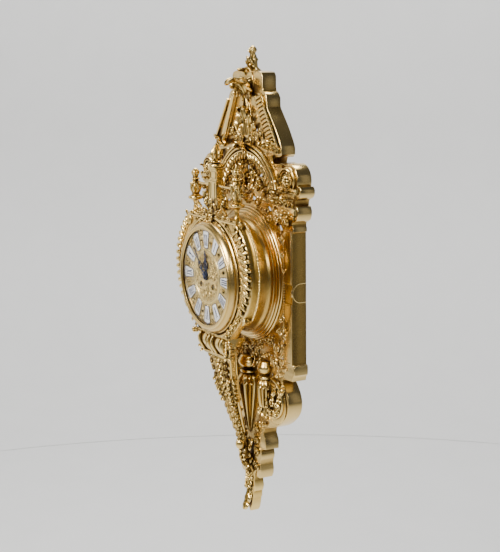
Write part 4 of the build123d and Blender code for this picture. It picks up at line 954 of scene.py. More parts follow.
def reededTerms():
    # balusters half sunk in the web: bulb, collar, then a reeded shaft that tapers downward
    piece = Casting()
    sizes = {0: (1.25, 0, -272), 58: (1.0, 0, -236)}
    for x, (size, drop, foot) in sizes.items():
        top = -141 + drop
        bulb = [(6, top + 1), (11 * size, top), (13 * size, top - 4), (15.5 * size, top - 11),
                (13 * size, top - 18),
                (8 * size, top - 22), (9.5 * size, top - 24), (12.5 * size, top - 26),
                (12.5 * size, top - 29),
                (9.5 * size, top - 31)]
        shaft = [(9.5 * size, top - 31), (14 * size, top - 38), (14.5 * size, top - 50),
                 (11 * size, top - 78),
                 (6.5 * size, foot + 22), (4, foot), (1, foot - 6)]
        place = seat(x, webFront - 1, 0)
        piece.add(turned(bulb[::-1], 40), place, both=x > 0)
        piece.add(turned(shaft[::-1], 48, 12, 0.09), place, both=x > 0)
        for k in range(5):
            place = outward(x, webFront - 1, top - 31, 10 * size, (k - 2) * 36, 180)
            piece.add(leaf(16 * size, 9 * size, 2, 1.0, 0.1), place, both=x > 0)
    piece.cast("reededTerms", giltOrnament, ["reeded_terms"])


reededTerms()


def lowerPendant():
    piece = Casting()
    taper = [(0, -325), (17, -326), (21, -340), (18, -350), (16.5, -362), (19, -371), (16, -380), (13, -383),
             (12.5, -392), (9, -397), (7.5, -406), (4, -416), (0, -421)]
    piece.plate([mirrored(taper)], webFront - 2.5, webFront + 15.5, 1.2)
    for x, z, length, width, turn, curl in ((0, -370, 48, 22, 180, 0.25), (8, -354, 26, 15, 165, 0.5),
                                            (11, -347, 20, 13, 140, 0.7), (0, -350, 24, 16, 0, 0.8),
                                            (8, -348, 18, 12, -35, 0.8), (7, -380, 22, 12, 172, 0.4)):
        piece.add(leaf(length, width, 3, curl, 0.2), seat(x, webFront - 2, z, turn), both=x > 0)
    for x, z, radius, out in ((0, -361, 7, 5), (8, -358, 4.5, 4), (5, -366, 4, 5), (0, -352, 4, 5)):
        piece.add(rosette(radius, 6), seat(x, webFront - out, z), both=x > 0)
    for z in (-266, -286, -306, -334):
        piece.add(scrollWork(8, 1.1, 4, 0.22, 100 if z % 4 else -60, 0.75, lift=0.2),
                  seat(24, webFront - 0.5, z), both=True)
    piece.add(spray(3, 26, 15, 70, 0.6, 0.2), seat(0, webFront - 1, -318, 180))
    piece.add(spray(5, 28, 15, 120, 0.7, 0.2), seat(0, webFront - 1, -290, 180))
    piece.cast("lowerPendant", giltOrnament, ["lower_pendant"])


lowerPendant()
print("stage: back frame's ornament made")


# Drum, front mask and bezel, turned round the middle of the dial

dialPlace = seat(0, 0, 0)


def hoop(profile, count=144):
    # closed profile of (radius, distance to the front), turned round the dial centre
    a = np.linspace(0, 2 * math.pi, count, endpoint=False)[:, None]
    r, out = np.array(profile, float).T[:, None]
    return np.stack([r * np.cos(a), r * np.sin(a), out + 0 * a], -1)


def tube(inner, outer, low, high, sides=24):
    # upright tube
    return hoop([(inner, low), (outer, low), (outer, high), (inner, high)], sides)[..., [0, 2, 1]]


def prism(outline, low, high):
    # convex outline raised between two distances
    p = np.array(outline, float)
    return [np.stack([np.column_stack([p, np.full(len(p), h)]) for h in (low, high)])]


def bead(piece, path, spacing, size, out, stretch=(1, 1, 1), lean=0, side=1, rows=6):
    # row of beads along a path seen from the front
    for (x, z), heading in along(path, spacing):
        piece.add(ball(1, stretch, 9, rows), seat(side * x, -out, z, side * (heading - 90 + lean), size=size))


def drum():
    piece = Casting()
    rings = [(92, 26.5), (114, 26.5), (114.4, 27.4), (113.8, 28.8), (112, 29.4), (110.8, 29.8), (110.9, 31),
             (110, 32.2), (107.8, 32.6), (107, 33.2), (107.1, 34.6), (105.6, 35.8), (103, 36.2),
             (102.2, 36.8),
             (102, 38), (100.2, 39), (98, 39.4), (97.2, 40.2), (96.6, 42), (95.2, 43.4), (94.5, 46),
             (94.5, 77),
             (95.4, 78), (95.4, 79.4), (94.5, 80.5), (92, 80.5)]
    piece.hoops([hoop(rings, 192)], dialPlace)
    piece.cast("drum", giltSmooth, ["drum"], sharp=50)


drum()


# wings are arcs about a centre beside the dial's; radii are measured from it
maskLook = {"wingCentre": (28.0, 11.5), "plate": 98.0, "lip": 93.5, "rope": 89.5, "ropeLeaves": 12.4,
            "ropeSize": 15.5,
            "bore": 80.0, "rearBeads": 5.0, "farBeads": 11.6}
# across the wing's edge: inward, distance to the front
wingEdge = np.array([(2, 93), (-2, 95.6), (-5.4, 95.8), (-7, 94.6), (-7.3, 92), (-7.6, 89.2), (-8.6, 86.8),
                     (-10, 85), (-11.4, 84.4), (-12.8, 83.6), (-13.3, 82), (-12.6, 80.5), (2, 80.5)])


def wing(radius, start=57, stop=-42, count=48):
    x, z = maskLook["wingCentre"]
    return arc(x, z, radius, start, stop, count)


def faceLine(piece, outline, width, height, out, profile=bandSection, ring=False):
    # moulding that follows a line seen from the front
    piece.shell(dialPlace(sweep([(x, z, out) for x, z in outline], width, height, profile, ring=ring)), ring)


def frontMask():
    look = maskLook
    piece = Casting()
    half = [(0, 97.5), (80, 97.5), (82, 96)] + wing(look["plate"]) + [(54, -97.5), (0, -97.5)]
    piece.plate([mirrored(half), arc(0, 0, look["bore"], 0, 357, 120)], -95.5, maskBack, 1.0)
    faceLine(piece, arc(0, 0, 100, -168, 168, 150), 3.7, 3.6, 95.4, roundSection(14))
    faceLine(piece, arc(0, 0, 105.2, -62, 62, 80), 1.2, 1.7, 95.4, roundSection(10))
    edge = dialPlace(sweep([(x, z, 0) for x, z in wing(look["lip"])], 1, 1, wingEdge))
    for side in (1, -1):
        piece.shell(edge * (side, 1, 1))
    for side in (1, -1):
        bead(piece, wing(look["lip"] + 13, 55, -40), look["rearBeads"], 2.5, 82.6, (0.62, 1.1, 0.7),
             side=side)
    # near wing: rope of leaves
    run = along(wing(look["rope"], 56, -40), look["ropeLeaves"])
    for k, ((x, z), heading) in enumerate(run):
        size = look["ropeSize"] * (0.66 + 0.34 * math.sin(math.pi * (k + 0.5) / len(run)))
        turn = heading - 90 + 64
        c, s = toward(turn)
        up = (-s, c)
        piece.add(ball(1, (0.38, 1.0, 0.52), 14, 11), seat(x, -97.0, z, turn, size=size))
        root = (x - up[0] * size * 0.95, z - up[1] * size * 0.95)
        piece.add(leaf(size * 1.9, size * 0.6, 3, 0.2, 0.02, -0.4), seat(root[0], -101.4, root[1], turn + 8))
        eye = (x - up[0] * size * 0.35, z - up[1] * size * 0.35)
        piece.add(ball(size * 0.2, (1, 1, 0.9), 8, 5),
                  seat(eye[0] + size * 0.42, -100.5, eye[1] + size * 0.3))
    # far wing: gadrooned edge and plain steps
    bead(piece, wing(96, 55, -38), look["farBeads"], 4.6, 97.0, (1.65, 0.95, 0.95), 0, -1)
    for radius, width, height in ((93, 1.6, 2.2), (88, 1.2, 1.2)):
        line = [(-x, z) for x, z in wing(radius, 50, -36)]
        faceLine(piece, line, width, height, 95.2)
    for side in (1, -1):
        block = [(side * x, z) for x, z in ((97, -58), (106, -53), (109, -59), (101, -66))]
        piece.plate([block], -96.6, maskBack, 1.6)
        # rolled top of the wing with an upright leaf
        piece.add(turned([(0.5, 80.6), (9.5, 81), (10, 84), (9.6, 95), (7.6, 98.4), (3, 99.6), (0.4, 99.7)],
                         28),
                  seat(side * 82, 0, 88, tilt=90))
        piece.add(leaf(18, 9, 2, 0.5, 0.1), seat(side * 91, -92, 86, side * -14))
        lowLeaves = ((96, -50, 20, 140), (86, -60, 22, 135), (75, -70, 22, 135), (64, -80, 20, 130))
        sprigs(piece, lowLeaves, -94.6, 0.6, 0.7, 0.25, side)
        for x, z, radius in ((80, -58, 7), (68, -70, 8), (58, -86, 6)):
            piece.add(scrollWork(radius, 1.1, 4, 0.22, 30, 0.7, lift=0.25),
                      seat(side * x, -94.5, z, flip=side < 0))
    for z, half, out in ((96.8, 85, 98.2), (99.0, 83, 96.6), (-97.0, 54, 98.4), (-99.6, 51, 96.8)):
        piece.plate([box(-half, half, z - 1.4, z + 1.4)], -out, maskBack, 0.7)
    piece.hoops([tube(1.27, 2.2, low, low + 7) for low in (-14, 7)], seat(-97.2, -99, 0))
    piece.plate([box(-99.3, -97.8, low, low + 7) for low in (-14, 7)], -98.8, -95, 0.2)
    piece.cast("frontMask", giltOrnament, ["front_mask"])


frontMask()


def bezelRing():
    piece = Casting()
    rings = [(84.6, 97.2), (94.4, 97.2), (95, 98), (95, 99.4), (94.2, 100.6), (93.2, 101), (92.8, 101.8),
             (92.9, 103.4),
             (92, 106), (90.2, 108.6), (88.4, 110.4), (87.2, 111.2), (86.8, 112.4), (85.6, 113.6),
             (83.8, 114.1),
             (82.2, 113.7), (81.4, 112.9), (80.6, 112.7), (80, 112.2), (80, 111.5), (84.6, 111.5)]
    piece.hoops([hoop(rings, 192)], dialPlace)
    piece.hoops([tube(1.27, 2.2, -6.7, 6.7)], seat(-97.2, -99, 0))
    piece.plate([box(-95.5, -93.4, -6.7, 6.7)], -101.1, -99.3, 0.3)
    piece.cast("bezelRing", giltSmooth, ["bezel_ring"], "bezel", 50)


bezelRing()


# Dial: chased plate, enamel plaques, hands

dialLook = {"front": 106.65, "keyHoles": ((20.5, -14.0), (-20.5, -14.0)), "flatten": 0.6,
            "relief": 1.8}


def onDial(shells, x=0, z=0, turn=0, size=1.0, flip=False):
    # low relief on the dial
    moved = [shell * (1, 1, dialLook["flatten"]) for shell in lay(shells, x, z, 0, turn, size, flip)]
    return [np.concatenate([shell[..., :2], np.minimum(shell[..., 2:], dialLook["relief"])], -1)
            + (0, 0, dialLook["front"])
            for shell in moved]


def dialPlate():
    look = dialLook
    piece = Casting()
    front = look["front"]
    holes = [arc(x, z, 5, 0, 354, 40) for x, z in look["keyHoles"]] + [arc(0, 0, 3.5, 0, 350, 30)]
    piece.plate([arc(0, 0, 83, 0, 358, 150), *holes], -front, -front + 1.6, 0.15)
    for radius, width, height in ((43.6, 1.9, 1.0), (40.2, 0.7, 0.7), (81.3, 1.0, 0.9), (46.8, 0.6, 0.6),
                                  (9, 1.0, 0.8)):
        faceLine(piece, arc(0, 0, radius, 0, 357, 120), width, height, front, roundSection(8), ring=True)
    bead(piece, arc(0, 0, 48.3, 0, 360, 100), 2.6, 0.75, front + 0.1)
    for x, z in look["keyHoles"]:
        faceLine(piece, arc(x, z, 6.2, 0, 345, 30), 0.9, 0.9, front, roundSection(8), ring=True)
    rings = ((16.5, 6, 6.0, 30), (30, 12, 7.4, 15), (22.5, 12, 4.2, 0), (36.8, 18, 3.8, 10))
    for radius, count, size, first in rings:
        for k in range(count):
            a = first + k * 360 / count
            c, s = toward(a)
            x, z = radius * c, radius * s
            if min(math.hypot(x - hx, z - hz) for hx, hz in look["keyHoles"]) > 7 + size:
                scroll = scrollWork(size, 1.1, 4, 0.2, 200, 0.9)
                piece.add(onDial(scroll, x, z, a - 90, flip=k % 2 == 1), dialPlace)
    for k in range(12):
        a = 15 + 30 * k
        c, s = toward(a)
        piece.add(onDial(leaf(15, 5.5, 3, 0.5, 0.3), 50 * c, 50 * s, a - 90), dialPlace)
        piece.add(onDial(rosette(3.0, 6), 69 * c, 69 * s), dialPlace)
        piece.add(onDial(leaf(9, 6, 3, 0.5, 0.3), 79 * c, 79 * s, a + 90), dialPlace)
        for side in (-1, 1):
            c, s = toward(a + side * 3.4)
            scroll = scrollWork(3.6, 1.1, 3, 0.22, 120, 0.9)
            piece.add(onDial(scroll, 74 * c, 74 * s, a - 90, flip=side < 0), dialPlace)
            piece.add(onDial(leaf(9, 4, 2, 0.5, 0.3), 56 * c, 56 * s, a - 90 - side * 25), dialPlace)
    for a in (-90, 45, 135):
        c, s = toward(a)
        piece.add(prism(arc(36 * c, 36 * s, 2, 0, 330, 12), 96.2, 105.2), dialPlace)
    piece.cast("dialPlate", giltDial, ["dial_plate"])


dialPlate()


plaqueLook = {"outline": ((0, 79.2), (1.2, 77.6), (2.8, 76.6), (4.6, 76.9), (6.4, 77.4), (8.2, 75.8),
                          (8.9, 73.6), (8.6, 71.2),
                          (7.4, 62), (6.1, 52), (5.9, 50.6), (4.6, 49.4), (0, 49.0)),
              "lift": 1.1, "numeralFoot": 53.4, "numeralHeight": 17.6, "numeralWidth": 11.6}
romans = ("XII", "I", "II", "III", "IIII", "V", "VI", "VII", "VIII", "IX", "X", "XI")
letterWidths = {"I": 3.5, "V": 6.8, "X": 6.8}


def stroke(x0, z0, x1, z1, thick):
    return [(x0 - thick / 2, z0), (x0 + thick / 2, z0), (x1 + thick / 2, z1), (x1 - thick / 2, z1)]


def letter(kind, x, foot, tall, wide):
    # strokes of one numeral letter with its serifs
    top = foot + tall
    serif = 0.5
    if kind == "I":
        ends = [(x, foot), (x, top)]
        strokes = [stroke(x, foot, x, top, wide * 0.6)]
    elif kind == "V":
        ends = [(x - wide * 0.34, top), (x + wide * 0.34, top)]
        strokes = [stroke(x, foot, x - wide * 0.32, top, wide * 0.34),
                   stroke(x, foot, x + wide * 0.32, top, wide * 0.17)]
    else:
        ends = [(x - wide * 0.32, top), (x + wide * 0.32, top), (x - wide * 0.32, foot),
                (x + wide * 0.32, foot)]
        strokes = [stroke(x + wide * 0.3, foot, x - wide * 0.3, top, wide * 0.34),
                   stroke(x - wide * 0.3, foot, x + wide * 0.3, top, wide * 0.17)]
    half = wide * (0.42 if kind == "I" else 0.2)
    return strokes + [box(ex - half, ex + half, ez - serif, ez + serif) for ex, ez in ends]


def plaquesAndNumerals():
    look = plaqueLook
    white = Casting()
    blue = Casting()
    front = dialLook["front"] + look["lift"]
    outline = mirrored(look["outline"])
    for hour, name in enumerate(romans):
        place = seat(0, 0, 0, -30 * hour)
        c, s = toward(-30 * hour)
        turnedOutline = [(x * c - z * s, x * s + z * c) for x, z in outline]
        white.plate([turnedOutline], -front, -dialLook["front"], 0.35)
        border = [(x, z, front - 0.05) for x, z in inset(outline, 0.9)]
        blue.shell(place(sweep(border, 0.36, 0.22, roundSection(6), ring=True)), ring=True)
        full = sum(letterWidths[kind] for kind in name)
        scale = min(1, look["numeralWidth"] / full)
        x = -full * scale / 2
        for kind in name:
            wide = letterWidths[kind] * scale
            for shape in letter(kind, x + wide / 2, look["numeralFoot"], look["numeralHeight"], wide):
                blue.add(prism(shape, front - 0.05, front + 0.12), place)
            x += wide
    white.cast("numeralPlaques", finishes["white_enamel"], ["numeral_plaques"])
    blue.cast("numerals", blueEnamel, ["numeral_plaques"])


plaquesAndNumerals()


# right half of each hand pointing up, its eyes, its bore and its turn from upright
handLooks = {
    "minute": {"half": ((0, 60), (0.6, 57.5), (1.0, 50), (1.3, 47), (2.8, 44.5), (3.4, 42), (2.8, 39),
                        (1.5, 37.5), (1.3, 35),
                        (2.6, 32), (5.2, 28.8), (6.0, 24.8), (5.0, 20), (2.6, 17), (1.5, 15.5), (2.4, 13),
                        (4.2, 10.5),
                        (4.6, 7.5), (3.2, 5.4), (4.2, 2), (4.2, -1), (3, -3.2), (0, -4.4)),
               "eyes": ((0, 42, 1.5, 3.0), (3.0, 25, 1.6, 4.2), (0, 10, 2.0, 2.2)), "bore": 1.9,
               "turn": 39.0, "near": 111.45},
    "hour": {"half": ((0, 46), (0.9, 43.6), (1.4, 39), (3.2, 37), (4.2, 34.2), (3.2, 31.6), (1.8, 30.3),
                      (2.8, 28.5),
                      (6.4, 25.8), (8.6, 21.5), (8.2, 16.8), (5.4, 13.4), (2.8, 12), (2.6, 10.6),
                      (5.2, 8.6), (6.0, 5.4),
                      (5.4, 0), (3.6, -4), (0, -5.4)),
             "eyes": ((0, 34.4, 1.8, 2.6), (4.6, 20.4, 2.2, 4.6), (0, 21, 1.2, 5.4)), "bore": 3.05,
             "turn": 3.25, "near": 109.65},
}


def hand(name, body, node):
    look = handLooks[name]
    piece = Casting()
    c, s = toward(look["turn"])

    def swung(points):
        return [(x * c - z * s, x * s + z * c) for x, z in points]

    eyes = []
    for x, z, wide, tall in look["eyes"]:
        for side in ((1, -1) if x else (1,)):
            eyes.append([(side * x + wide * math.cos(a), z + tall * math.sin(a))
                         for a in np.linspace(0, 6.1, 18)])
    bore = arc(0, 0, look["bore"], 0, 345, 24)
    piece.plate([swung(mirrored(look["half"])), bore, *[swung(eye) for eye in eyes]], -look["near"],
                -look["near"] + 1.0, 0.25)
    if name == "minute":
        cap = turned([(2.9, 111.3), (2.9, 112.2), (2.0, 113.0), (1.0, 113.4)], 28, each=1)
        piece.add(cap, seat(0, 0, 0, tilt=90))
    piece.cast(name + "Hand", finishes["blued_steel"], [node], body)


hand("minute", "minute_hand", "minute_hand")
hand("hour", "hour_hand", "hour_hand")
print("stage: drum, mask, bezel and dial made")


# Over the dial: pier with its skirt, flame and scrolls; turrets

def tower(stations, each=4):
    # rectangular solid through stations of height, distance out, half width and half depth, bottom to top
    p = smooth(stations, each) if each > 1 else np.array(stations, float)
    x, y = np.array([(-1, -1), (0, -1), (1, -1), (1, 0), (1, 1), (0, 1), (-1, 1), (-1, 0)], float).T
    return [np.stack([p[:, 2:3] * x, p[:, :1] + 0 * x, p[:, 1:2] + p[:, 3:4] * y], -1)]


def strap(path, width, thick, profile=bandSection):
    # band that follows a side view of (height, distance out), its face outward
    path = np.array([(0, z, out) for z, out in smooth(path, 6)])
    way = np.gradient(path, axis=0)
    way /= np.linalg.norm(way, axis=1, keepdims=True)
    return [sweep(path, width, thick, profile, np.stack([0 * way[:, 0], way[:, 2], -way[:, 1]], 1))]


pinnacleLook = {"y": -86.0,
                "skirt": ((116, 22), (119, 20.4), (125, 17.4), (133, 14.8), (144, 13.2), (158, 12.6)),
                "flameLeaves": 5}


def centrePinnacle():
    look = pinnacleLook
    piece = Casting()
    y = look["y"]
    middle = seat(0, y, 0)
    piece.add(tower([(97, 0, 25, 8), (106, 0, 20, 8), (120, 0, 14, 6), (135, 0, 11, 6), (158, 0, 11, 6)]),
              middle)
    piece.add(tower([(156, 0, 12.0, 6.2), (182, 0, 11.6, 6.0)], 1), middle)
    for z, half, tall in ((158, 13.0, 1.8), (161, 12.6, 1.2), (177.6, 12.8, 1.6), (180.2, 14, 2.0)):
        piece.add(tower([(z - tall / 2, 0, half, half - 5), (z + tall / 2, 0, half, half - 5)], 1), middle)
    # sunk panel on the pier's face
    faceLine(piece, box(-8.6, 8.6, 164, 174.6), 0.8, 0.9, -y + 6.2, roundSection(8), ring=True)
    # lambrequin: narrow panel that flares at its foot, ribbed along both edges
    skirt = [(half, z) for z, half in look["skirt"]][::-1]
    piece.add(tower([(z, 0, half, 4.6 + half * 0.2) for z, half in look["skirt"]], 3), middle)
    piece.add(turned([(1, 181), (9, 181.2), (12.4, 182.4), (13.4, 184.4), (12.6, 186.6), (9, 188),
                      (1, 188.4)], 36), middle)
    for share, size in ((1, 1.3), (0.5, 0.8)):
        for near in (1, -1):
            rib = np.array([(half * share, z, near * (4.6 + half * 0.2)) for half, z in skirt])
            piece.add([sweep(rib, size, size, roundSection(8))], middle, both=True)
    piece.add(leaf(20, 9, 2, 0.3, 0.05), seat(0, y - 11, 112))
    piece.add(rosette(5, 6), seat(0, y - 12, 112))
    # volutes that hug the pier, and scrolls at its foot
    coil = spiral(11.5, 4.2, 100, -290, 44)
    for out in (0.8, -0.8):
        piece.add([sweep(coil * (1, 1, 0), np.linspace(2.3, 1.5, 44), out * 2.6, roundSection(10))],
                  seat(30, y - 3, 127), both=True)
    piece.add(ball(3.2), seat(30, y - 3, 127), both=True)
    for x, z, radius, start, flip in ((12, 100, 7.5, -40, False), (26, 108, 8, 200, True),
                                      (41, 104, 8, 20, False),
                                      (54, 101, 6, 180, True), (14, 101, 7, 60, False),
                                      (33, 99, 6.5, 150, False)):
        piece.add(scrollWork(radius, 1.2, 5, 0.22, start, 0.8, lift=0.25), seat(x, y - 8, z, flip=flip),
                  both=True)
    sprigs(piece, ((9, 101, 17, 150), (21, 101, 17, 165), (35, 100, 14, 175), (47, 100, 12, 200),
                   (36, 112, 16, -40), (12, 112, 14, -20), (44, 108, 14, -60), (60, 99, 12, -70)), y - 9.5,
                   0.62, rise=0.25)
    piece.add(spray(5, 20, 12, 130, 0.9, 0.25), seat(0, y - 10, 104, 180))
    piece.add(rosette(6, 7), seat(0, y - 12.5, 100))
    # scrolled stay that reaches out to each turret
    stay = smooth([(11, 154, 2), (20, 153, 4), (36, 152, 4), (52, 152, 3), (64, 153, 1)], 6)
    piece.add([sweep(stay, 2.3, 2.3, roundSection(10))], seat(0, y, 0), both=True)
    piece.add(scrollWork(5, 1.2, 2, 0.26, 180, 0.6), seat(34, y - 5, 148, flip=True), both=True)
    # flame finial
    piece.add(turned([(0.4, 188), (7.4, 190), (6.2, 193), (4.4, 195), (7.6, 198), (9.4, 203), (8.2, 209),
                      (5.4, 214), (2.6, 218.5),
                      (0.2, 222)], 40, 7, 0.12, 2.2), middle)
    for k in range(look["flameLeaves"]):
        facing = k * 360 / look["flameLeaves"]
        a = math.radians(facing)
        piece.add(leaf(17, 10, 2, 0.25, 0.02), outward(0, y, 192, 6, facing))
        piece.add(ball(2.4), seat(7 * math.sin(a + 0.6), y - 7 * math.cos(a + 0.6), 191))
    piece.cast("centrePinnacle", giltOrnament, ["centre_pinnacle"])


centrePinnacle()


turretLook = {"x": 72.0, "y": -88.0}


def turret(side, name, node, top):
    # balusters: base, neck, wide disc, leafed body, finial
    piece = Casting()
    place = seat(side * turretLook["x"], turretLook["y"], 0)
    piece.add(turned([(1, 97.5), (9, 98), (9.4, 100), (8, 102), (5.4, 105), (3.8, 110), (3.9, 116),
                      (5.4, 120), (7.6, 121.6),
                      (11.8, 123.4), (12.8, 125.4), (12.4, 127.6), (9, 129), (6.6, 131), (1, 131.5)], 36),
                      place)
    body = 1.0 if top > 180 else 0.72
    low = 130
    profile = [(1, 0), (6.4, 0.6), (5.4, 3), (7.4, 8), (8.8, 15), (8.4, 23), (6.4, 30), (4.6, 34),
               (6.6, 36.5), (6.8, 39), (4, 41), (1, 42)]
    piece.add(turned([(r, low + h * body) for r, h in profile], 36, 6, 0.13, 3.2), place)
    neck = low + 41 * body
    tip = [(1, neck), (3.4, neck + 1), (2.6, neck + 3), (5.6, neck + 5), (6.6, neck + 8.5),
           (5.4, neck + 12), (2.6, neck + 15)]
    piece.add(turned(tip + [(0.3, top)], 32, 6, 0.1, 1.5), place)
    for ring, count, length, z, r, curl in ((0, 6, 17 * body, low + 1, 5.6, 0.25),
                                            (1, 6, 15 * body, low + 15 * body, 7.4, 0.4),
                                            (2, 5, 8, neck - 1, 3.6, 0.7)):
        for k in range(count):
            spot = outward(side * turretLook["x"], turretLook["y"], z, r, (k + ring * 0.5) * 360 / count, 14)
            piece.add(leaf(length, length * 0.6, 2, curl, 0.05), spot)
    piece.cast(name, giltOrnament, [node])


turret(-1, "turretLeft", "turret_left", 172)
turret(1, "turretRight", "turret_right", 193)


# Under the dial: console with its brackets, and the drop that returns to the frame

consoleLook = {"front": ((-98, 93.5, 47), (-112, 93, 44), (-126, 89, 41), (-145, 85.5, 35), (-161, 82, 30),
                         (-178, 78, 25),
                         (-190, 74, 21), (-212, 68, 14)), "depth": 15.0, "tasselBeads": 7,
                         "bracket": (22.5, 18.5)}


def consoleFront(z):
    # distance to the front and half width of the console's core at a height
    heights, fronts, halves = np.array(consoleLook["front"]).T
    return np.interp(-z, -heights, fronts), np.interp(-z, -heights, halves)


def console():
    look = consoleLook
    piece = Casting()
    deep = look["depth"] / 2
    piece.add(tower([(z, front - deep, half, deep) for z, front, half in look["front"][::-1]], 3), dialPlace)
    for z, half, out in ((-98.6, 51, 95), (-101, 49, 94), (-119, 45, 92.6)):
        piece.plate([box(-half, half, z - 1.3, z + 1.3)], -out, -79, 0.6)
    # brackets: rolled heads over a curved strap with a sunk face
    x, wide = look["bracket"]
    run = [(-98.8, 84), (-99.4, 91), (-102.4, 97), (-108, 100), (-114, 99.6), (-120, 96), (-126, 92),
           (-132, 89.6)]
    for side in (1, -1):
        piece.add(strap(run, wide, 5.0, sunkSection), seat(side * x, 0, 0))
        for face in (-1, 1):
            piece.add(rosette(5.4, 6, 1.6), seat(side * x + face * wide * 0.98, -95, -106, facing=90 * face))
    for z, half, out in ((-131.5, 42, 94.6), (-134.5, 41, 92.6)):
        piece.plate([box(-half, half, z - 1.4, z + 1.4)], -out, -78, 0.7)
    # middle panel: foliage that tapers downward
    for k, z in enumerate(range(-132, -206, -12)):
        out = consoleFront(z)[0]
        size = 1 - 0.06 * k
        piece.add(spray(3, 21 * size, 13 * size, 80, 0.5, 0.2), seat(0, -out - 1, z, 180, tilt=-12))
        piece.add(rosette(3.6 * size, 6), seat(0, -out - 4.5, z))
        for radius, x, start, flip in ((6.6 * size, 12 * size, 200, False),
                                       (6.4 * size, 25 * size, 20, True)):
            piece.add(scrollWork(radius, 1.2, 4, 0.22, start, 0.8, lift=0.3),
                      seat(x, -out - 0.5, z - 5, flip=flip), both=True)
    for z in range(-168, -212, -9):
        out, half = consoleFront(z)
        piece.add(leaf(17, 11, 3, 0.5, 0.2), seat(half * 0.75, -out + 1, z, -166), both=True)
        piece.add(leaf(14, 10, 3, 0.5, 0.2), seat(half, -out + 6, z, -172, facing=70), both=True)
    # framed panel on each outer side
    sideRun = [(consoleFront(z)[1] + 0.6, -consoleFront(z)[0] + y, z) for z, y in
               ((-123, 2.5), (-140, 2.5), (-160, 2.5), (-176, 2.5), (-176, 12.5), (-160, 12.5),
                (-140, 12.5), (-123, 12.5))]
    for side in (1, -1):
        grid = sweep(np.array(sideRun), 1.1, 1.2, roundSection(8), (1, 0, 0.25), ring=True)
        piece.shell(grid * (side, 1, 1), True)
    # lip leaves at the corners and bead tassels
    for x, z, length, turn, facing in ((48, -98, 20, -100, 0), (46, -100, 16, -150, 30),
                                       (42, -117, 13, -150, 0)):
        piece.add(leaf(length, length * 0.62, 3, 0.7, 0.2), seat(x, -95.5, z, turn, facing=facing), both=True)
    # corner slab that reaches back under the drum
    for low, high, half, near, far in ((-104.5, -98, 52, -96, -64), (-108, -104.5, 49, -93, -66),
                                       (-113, -108, 46.5, -91, -68)):
        for side in (1, -1):
            piece.plate([box(side * 36, side * half, low, high)], near, far, 1.2)
    for x, y, low in ((50.5, -91, 1), (46.5, -96.5, 0.6)):
        for k in range(look["tasselBeads"]):
            piece.add(ball(3.2 - 0.24 * k), seat(x - 0.6 * k, y, -102 - (4.8 - 0.16 * k) * (k + low)),
                      both=True)
        piece.add(leaf(9, 5, 2, 0.6, 0.2), seat(x - 0.6 * look["tasselBeads"], y, -127, 180), both=True)
    piece.cast("console", giltOrnament, ["console"])


console()


def lowerDrop():
    piece = Casting()
    core = [(-208, 66, 13, 6), (-222, 62, 11, 6), (-238, 57, 8, 5.5), (-256, 52, 5.5, 5),
            (-276, 46, 4.2, 4.5), (-300, 40, 4.0, 4.5),
            (-323, 34, 6.5, 6)]
    piece.add(tower(core[::-1], 4), dialPlace)
    for z, out, length, wide in ((-206, 73, 32, 15), (-218, 70, 30, 14), (-230, 66, 28, 13),
                                 (-243, 61, 26, 12), (-257, 56, 24, 11),
                                 (-272, 51, 20, 9)):
        half = 4 + (z + 290) * 0.09
        piece.add(leaf(length * 0.9, wide, 3, 0.35, 0.1), seat(0, -out, z, 180, tilt=-22))
        piece.add(leaf(length * 0.8, wide * 0.9, 3, 0.5, 0.15),
                  seat(half * 0.8, -out + 3, z, 188, tilt=-18, facing=35), both=True)
        piece.add(leaf(length * 0.6, wide * 0.8, 3, 0.6, 0.15),
                  seat(half, -out + 8, z - 3, 180, tilt=-10, facing=80), both=True)
        piece.add(scrollWork(4.6, 1.1, 3, 0.24, 200, 0.6, lift=0.3), seat(half * 0.7, -out + 1, z - 8),
                  both=True)
    rib = smooth([(15, -206, 60), (13.5, -222, 57), (10.5, -238, 52.5), (7.5, -256, 47.5), (5.6, -274, 42)],
                 8)
    piece.add([sweep(rib, 2.8, 2.8, roundSection(12))], dialPlace, both=True)
    # ball with its collar and drop
    piece.add(turned([(0.4, -327), (1.6, -323), (2.8, -318), (2.0, -313), (3.4, -309), (2.2, -306.5),
                      (5.6, -304), (7.8, -300),
                      (8.2, -296), (7.4, -292), (4.6, -288.6), (3.2, -287), (4.6, -285), (2.4, -282),
                      (0.5, -281)], 32), seat(0, -47, 0))
    for k in range(6):
        piece.add(leaf(9, 5, 2, 1.0, 0.2), outward(0, -47, -283, 3.4, k * 60, 180))
    for z, turn in ((-306, 150), (-314, 140), (-300, 120)):
        piece.add(leaf(16, 10, 3, 0.6, 0.2), seat(3, -38, z, turn), both=True)
    piece.add(scrollWork(6.5, 1.2, 4, 0.24, 80, 0.8, lift=0.3), seat(7, -33, -316), both=True)
    piece.cast("lowerDrop", giltOrnament, ["lower_drop"])


lowerDrop()
print("stage: pinnacle, turrets, console and drop made")


# Stage, light and camera

def softLight(name, place, aim, size, power, tint=(1, 1, 1)):
    light = bpy.data.lights.new(name, "AREA")
    light.shape = "RECTANGLE"
    light.size, light.size_y = size
    light.energy = power
    light.color = tint
    lamp = bpy.data.objects.new(name, light)
    bpy.context.scene.collection.objects.link(lamp)
    lamp.location = place
    lamp.rotation_euler = (Vector(aim) - Vector(place)).to_track_quat("-Z", "Y").to_euler()


stageLook = {"floorHeight": -1.5, "floorHalf": 9.0, "wallRadius": 4.2, "wallBend": 1.2, "wallTop": 3.0,
             "skyColour": (0.16, 0.165, 0.18), "skyStrength": 0.42}


